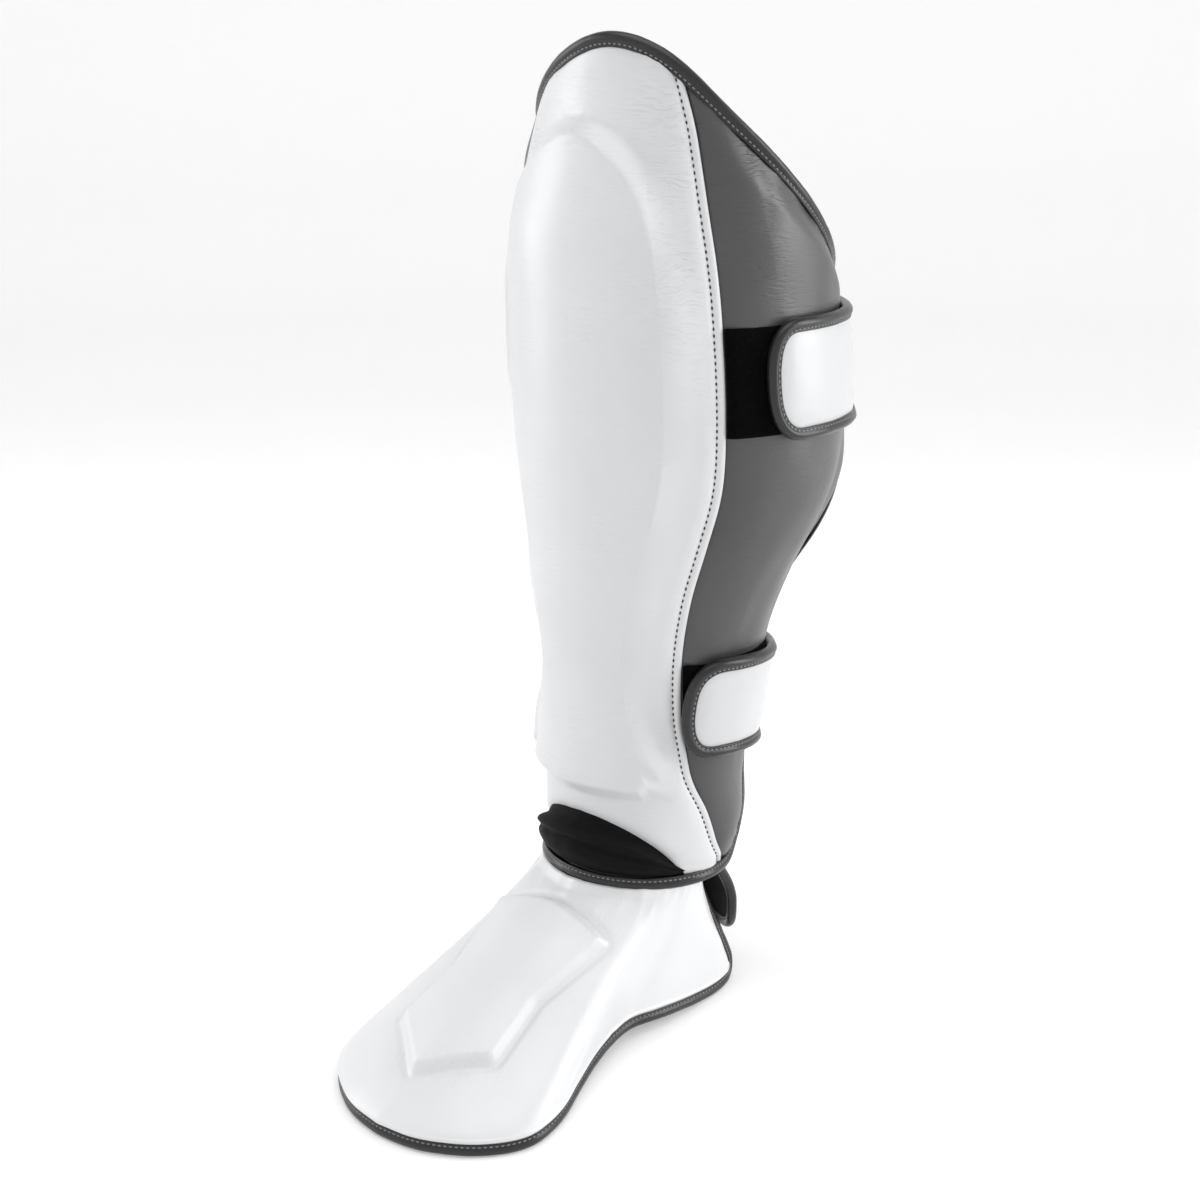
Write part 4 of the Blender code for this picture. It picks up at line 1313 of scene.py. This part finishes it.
def strap_body(strap):
    """Grids of a strap between its bindings, columns running back from its free end."""
    height, width, end, drop = strap
    turn = degrees_for(1.0, height)
    total = (STRAP_ROOT - end) / turn
    start = STRAP_INSET + (STRAP_CORNER - STRAP_INSET) * np.linspace(0.0, 1.0, 24) ** 2
    u = np.concatenate((start, np.linspace(STRAP_CORNER, total, 170)[1:]))[None, :]
    v = np.linspace(-1.0, 1.0, 30)[:, None]
    half = np.maximum(strap_half(u, width, STRAP_INSET), 0.0004)
    degrees = end + u * turn + v * 0.0
    z = strap_centre(degrees, height, end, drop) + v * half
    to_edge = np.minimum((1.0 - np.abs(v)) * half, u - STRAP_INSET)
    swell = STRAP_SWELL * (1.0 - fade(to_edge, 0.010))
    swell = swell + STRAP_UNEVEN * ripple(u / 0.012, v * 2.0, 51.0 + height)
    level = strap_level(degrees)
    outer = on_leg(degrees, z, level + STRAP_THICKNESS - 0.0002 + swell)
    return outer, on_leg(degrees, z, level), u + v * 0.0, z, 0.6 * fade(to_edge, 0.01)


def strap_path(strap):
    """Centre of a strap's folded edge, from its upper root round the free end to its lower root."""
    height, width, end, drop = strap
    turn = degrees_for(1.0, height)
    total = (STRAP_ROOT - end) / turn
    round_end = STRAP_CORNER * np.linspace(0.0, 1.0, 60) ** 2.5
    run = np.concatenate((round_end, np.linspace(STRAP_CORNER, total, 200)[1:]))
    run = STRAP_BINDING_RADIUS + run * (total - STRAP_BINDING_RADIUS) / total
    half = strap_half(run, width, STRAP_BINDING_RADIUS)
    degrees = end + run * turn
    centre = strap_centre(degrees, height, end, drop)
    out = strap_level(degrees) + STRAP_BINDING_RADIUS
    lower, upper = on_leg(degrees, centre - half, out), on_leg(degrees, centre + half, out)
    path = relax(resample(np.concatenate((upper[::-1], lower[1:])), BINDING_STEP, False), 3, False)
    return path, from_leg_centre(path)


for name, strap in (("upper", UPPER_STRAP), ("lower", LOWER_STRAP)):
    add_piece(
        name + "_strap_body",
        shell(name + "_strap_body", *strap_body(strap)),
        (strap_leather, lining),
        (name + "_strap",),
    )
    path, facing = strap_path(strap)
    seed = 60.0 + strap[0]
    add_piece(
        name + "_strap_edge",
        folded_strip(name + "_strap_edge", path, facing, False, scale=STRAP_SCALE, seed=seed),
        (binding_leather,),
        (name + "_strap_binding",),
    )
    line, rise = STITCH_LINE * STRAP_SCALE, STITCH_RISE * STRAP_SCALE
    light_rows.append((*stitch_path(path, facing, False, line, rise), False))


# Ankle tab
# A rounded tab of the same neoprene, bound like the rest, that hangs behind the ankle on the outer side.

TAB_BOTTOM = 0.0245
TAB_TOP = 0.095
TAB_HALF_WIDTH = 0.0205
TAB_THICKNESS = 0.0028
TAB_FLARE = 0.0042
TAB_DEGREES = 154.0
TAB_TOP_DEGREES = 137.5
TAB_BINDING_RADIUS = 0.0022
TAB_ROUND_SHARE = 0.5
TAB_SWING = (0.72, 0.45)
TAB_LEAN = (0.62, 0.50)
TAB_SCALE = 0.8


def tab_place(across, z):
    """A point on the tab's outer face, across from -1 to 1 of its half-width."""
    below = fade(z - TAB_SWING[0] * RING_HEIGHT, TAB_SWING[1] * RING_HEIGHT)
    degrees = TAB_TOP_DEGREES + (TAB_DEGREES - TAB_TOP_DEGREES) * below
    seated = -(EDGE_WALL + 2 * FORM_GAP + GAP + TAB_BINDING_RADIUS - TAB_THICKNESS / 2)
    out = seated + (TAB_FLARE - seated) * fade(z - TAB_LEAN[0] * RING_HEIGHT, TAB_LEAN[1] * RING_HEIGHT)
    return on_leg(degrees + across * degrees_for(TAB_HALF_WIDTH, z), z, out)


def tab_outline(share, inset):
    """Height and half-width of the tab's outline, share of the way up, taken in by inset."""
    centre = TAB_BOTTOM + TAB_HALF_WIDTH
    radius = TAB_HALF_WIDTH - inset
    angle = math.pi / 2 * np.clip(share / TAB_ROUND_SHARE, 0.0, 1.0)
    above = np.clip((share - TAB_ROUND_SHARE) / (1.0 - TAB_ROUND_SHARE), 0.0, 1.0)
    return centre - radius * np.cos(angle) + (TAB_TOP - centre) * above, radius * np.sin(angle)


share = np.concatenate((np.linspace(0.03, 0.5, 26)[:-1], np.linspace(0.5, 1.0, 24)))[:, None]
u = np.linspace(-1.0, 1.0, 26)[None, :]
z, half = tab_outline(share, 2 * TAB_BINDING_RADIUS - 0.0012)
z, half = z + u * 0.0, half + u * 0.0
outer = tab_place(u * half / TAB_HALF_WIDTH, z)
face = unit(np.cross(np.gradient(outer, axis=1), np.gradient(outer, axis=0)))
wrinkle = 0.0005 * ripple(u * 1.4, z / 0.012, 71.0)
inner = outer - face * TAB_THICKNESS
outer = outer + face * wrinkle[..., None]
piece = add_piece(
    "ankle_tab_body",
    shell("ankle_tab_body", outer, inner, u * half, z, np.zeros(z.shape)),
    (neoprene, neoprene),
    ("ankle_tab",),
)
share = np.linspace(0.0, 1.0, 80)
z, half = tab_outline(share, TAB_BINDING_RADIUS)
sides = []
for side in (1.0, -1.0):
    across = side * half / TAB_HALF_WIDTH
    up = tab_place(across, z + 0.002) - tab_place(across, z - 0.002)
    over = tab_place(across + 0.02, z) - tab_place(across - 0.02, z)
    face = unit(np.cross(over, up))
    sides.append(np.concatenate((tab_place(across, z) - face * TAB_THICKNESS / 2, face), axis=1))
both = np.concatenate((sides[0][::-1], sides[1][1:]))
both = relax(resample(both, BINDING_STEP, False), 3, False)
path, facing = both[:, :3], unit(both[:, 3:])
add_piece(
    "ankle_tab_edge",
    folded_strip("ankle_tab_edge", path[::-1], facing[::-1], False, scale=TAB_SCALE, seed=80.0),
    (binding_leather,),
    ("ankle_tab_binding",),
)
line, rise = STITCH_LINE * TAB_SCALE, STITCH_RISE * TAB_SCALE
light_rows.append((*stitch_path(path[::-1], facing[::-1], False, line, rise), False))
light_rows.append((*stitch_path(path[::-1], -facing[::-1], False, -line, rise), False))


# Stitches
# Lockstitch in waxed thread: light grey along every binding, dark grey down the two seams of the panel.

STITCH_PITCH = 0.0026
SEAM_PITCH = 0.0031
BINDING_STITCH = (0.0017, 0.0008, 0.0006)
SEAM_STITCH_SIZE = (0.0018, 0.0010, 0.0006)


def make_stitch_tree():
    """Stitches laid at even steps along lines, each turned along its line and facing its way."""
    tree, given, result = new_group(
        "Stitch row",
        "GeometryNodeTree",
        (
            ("Geometry", "NodeSocketGeometry", None),
            ("Pitch", "NodeSocketFloat", STITCH_PITCH),
            ("Size", "NodeSocketVector", BINDING_STITCH),
            ("Thread", "NodeSocketMaterial", None),
        ),
        (("Geometry", "NodeSocketGeometry"),),
    )
    curve = add_node(tree, "GeometryNodeMeshToCurve", {"Mesh": given.outputs["Geometry"]})
    steps = {"Curve": curve.outputs[0], "Length": given.outputs["Pitch"]}
    even = add_node(tree, "GeometryNodeResampleCurve", steps, mode="LENGTH")
    run = add_node(tree, "GeometryNodeInputTangent")
    kind = "GeometryNodeInputNamedAttribute"
    facing = add_node(tree, kind, {"Name": "facing"}, data_type="FLOAT_VECTOR")
    turn = add_node(
        tree,
        "FunctionNodeAxesToRotation",
        {"Primary Axis": run.outputs[0], "Secondary Axis": facing.outputs["Attribute"]},
        primary_axis="X",
        secondary_axis="Z",
    )
    bead = add_node(tree, "GeometryNodeMeshUVSphere", {"Segments": 6, "Rings": 5, "Radius": 0.5})
    upright = {"Geometry": bead.outputs["Mesh"], "Rotation": (0.0, math.pi / 2, 0.0)}
    lying = add_node(tree, "GeometryNodeTransform", upright)
    rows = add_node(
        tree,
        "GeometryNodeInstanceOnPoints",
        {
            "Points": even.outputs[0],
            "Instance": lying.outputs[0],
            "Rotation": turn.outputs[0],
            "Scale": given.outputs["Size"],
        },
    )
    real = add_node(tree, "GeometryNodeRealizeInstances", {"Geometry": rows.outputs[0]})
    smooth = add_node(tree, "GeometryNodeSetShadeSmooth", {"Geometry": real.outputs[0]})
    dyed = {"Geometry": smooth.outputs[0], "Material": given.outputs["Thread"]}
    thread = add_node(tree, "GeometryNodeSetMaterial", dyed)
    tree.links.new(thread.outputs[0], result.inputs["Geometry"])
    return tree


stitch_tree = make_stitch_tree()


def stitches(name, rows, pitch, size, thread):
    """All the stitches of one thread, as a plain mesh."""
    points, facing, edges = [], [], []
    for line, face, closed in rows:
        first = len(points)
        points += line.tolist()
        facing += face.tolist()
        edges += [(first + step, first + step + 1) for step in range(len(line) - 1)]
        if closed:
            edges.append((first + len(line) - 1, first))
    mesh = bpy.data.meshes.new(name + "_lines")
    mesh.from_pydata(points, edges, [])
    mesh.attributes.new("facing", "FLOAT_VECTOR", "POINT").data.foreach_set("vector", np.ravel(facing))
    guide = bpy.data.objects.new(name + "_lines", mesh)
    bpy.context.scene.collection.objects.link(guide)
    modifier = guide.modifiers.new("Stitches", "NODES")
    modifier.node_group = stitch_tree
    values = {"Pitch": pitch, "Size": size, "Thread": thread}
    for item in stitch_tree.interface.items_tree:
        if item.in_out == "INPUT" and item.name in values:
            modifier[item.identifier] = values[item.name]
    bpy.context.view_layer.update()
    sewn = bpy.data.meshes.new_from_object(guide.evaluated_get(bpy.context.evaluated_depsgraph_get()))
    sewn.name = name
    bpy.data.objects.remove(guide)
    piece = bpy.data.objects.new(name, sewn)
    bpy.context.scene.collection.objects.link(piece)
    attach(piece, "root")
    return piece


def thread_material(name, light, dark):
    """Twisted waxed thread."""
    material, tree, shader = new_material(name)
    place = add_node(tree, "ShaderNodeTexCoord").outputs["Object"]
    twist = noise_at(tree, place, 2600.0, 1.0)
    two_shades(tree, shader, twist.outputs["Fac"], dark, light)
    shader.inputs["Roughness"].default_value = 0.6
    return material


light_thread = thread_material("light_thread", (0.30, 0.30, 0.30), (0.13, 0.13, 0.13))
dark_thread = thread_material("dark_thread", (0.05, 0.05, 0.05), (0.02, 0.02, 0.02))
seam_rows = []
for side in (1.0, -1.0):
    share = np.linspace(0.004, 0.995, 240)
    angle, z = seam_place(share, 1.0)
    degrees = angle - np.degrees(SEAM_STITCH / form(z)[1])
    z = panel_height(z, share, side * degrees / angle)
    degrees = side * degrees
    row = on_leg(degrees, z, -0.0002 + pad_rise(degrees, z) - panel_roll(degrees, z))
    level = on_leg(degrees, z, 0.01) - on_leg(degrees, z, 0.0)
    seam_rows.append((row, unit(level), False))
stitches("binding_stitches", light_rows, STITCH_PITCH, BINDING_STITCH, light_thread)
stitches("seam_stitches", seam_rows, SEAM_PITCH, SEAM_STITCH_SIZE, dark_thread)


# Studio
# Pale floor that curves up into a wall all round, two tall side lights, one overhead and a soft fill.

FLOOR_PROFILE = ((0.0, 0.0), (1.6, 0.0), (1.95, 0.04), (2.2, 0.2), (2.38, 0.5), (2.45, 0.95), (2.5, 2.2))


def studio_floor():
    turns = 96
    vertices, faces = [(0.0, 0.0, 0.0)], []
    for radius, height in FLOOR_PROFILE[1:]:
        for turn in range(turns):
            angle = 2 * math.pi * turn / turns
            vertices.append((radius * math.cos(angle), radius * math.sin(angle), height))
    for turn in range(turns):
        after = (turn + 1) % turns
        faces.append((0, 1 + turn, 1 + after))
        for ring in range(len(FLOOR_PROFILE) - 2):
            low, high = 1 + ring * turns, 1 + (ring + 1) * turns
            faces.append((low + turn, high + turn, high + after, low + after))
    mesh = bpy.data.meshes.new("studio_floor")
    mesh.from_pydata(vertices, [], faces)
    mesh.shade_smooth()
    floor = bpy.data.objects.new("studio_floor", mesh)
    bpy.context.scene.collection.objects.link(floor)
    material, _, shader = new_material("pale_floor")
    shader.inputs["Base Color"].default_value = (0.80, 0.80, 0.80, 1.0)
    shader.inputs["Roughness"].default_value = 0.9
    shader.inputs["Emission Color"].default_value = (1.0, 1.0, 1.0, 1.0)
    shader.inputs["Emission Strength"].default_value = 0.27
    mesh.materials.append(material)


def soft_light(name, place, target, size, power):
    data = bpy.data.lights.new(name, "AREA")
    data.shape = "RECTANGLE"
    data.size, data.size_y = size
    data.energy = power
    light = bpy.data.objects.new(name, data)
    bpy.context.scene.collection.objects.link(light)
    light.visible_camera = False
    light.location = place
    light.rotation_euler = (Vector(target) - Vector(place)).to_track_quat("-Z", "Y").to_euler()


studio_floor()
soft_light("overhead", (0.1, -0.1, 1.7), (0.0, 0.0, 0.2), (1.4, 1.4), 12.6)
soft_light("side_right", (1.04, 0.86, 0.65), (0.0, 0.0, 0.25), (0.5, 1.2), 10.6)
soft_light("side_left", (-1.21, -0.59, 0.65), (0.0, 0.0, 0.25), (0.5, 1.2), 6.2)
world = bpy.data.worlds.new("studio_air")
bpy.context.scene.world = world
world.use_nodes = True
world.node_tree.nodes["Background"].inputs["Color"].default_value = (1.0, 1.0, 1.0, 1.0)
world.node_tree.nodes["Background"].inputs["Strength"].default_value = 0.30
bpy.context.scene.view_settings.view_transform = "Standard"

PICTURE = 1200
LENS_PIXELS = 1842
SHIFT_PIXELS = 26.8
SENSOR = 36.0
CAMERA_REACH = 0.86
CAMERA_HEIGHT = 0.49

azimuth, pitch = math.radians(41.0), math.radians(17.84)
camera_data = bpy.data.cameras.new("camera")
camera_data.sensor_width = SENSOR
camera_data.lens = LENS_PIXELS / PICTURE * SENSOR
camera_data.shift_x = -SHIFT_PIXELS / PICTURE
camera = bpy.data.objects.new("camera", camera_data)
bpy.context.scene.collection.objects.link(camera)
right = Vector((math.cos(azimuth), math.sin(azimuth), 0.0))
level = math.cos(pitch)
ahead = Vector((-math.sin(azimuth) * level, math.cos(azimuth) * level, -math.sin(pitch)))
turned = Matrix((right, right.cross(ahead), -ahead)).transposed().to_4x4()
away = Vector((math.sin(azimuth) * CAMERA_REACH, -math.cos(azimuth) * CAMERA_REACH, CAMERA_HEIGHT))
turned.translation = away + Vector(ORIGIN)
camera.matrix_world = turned
bpy.context.scene.camera = camera
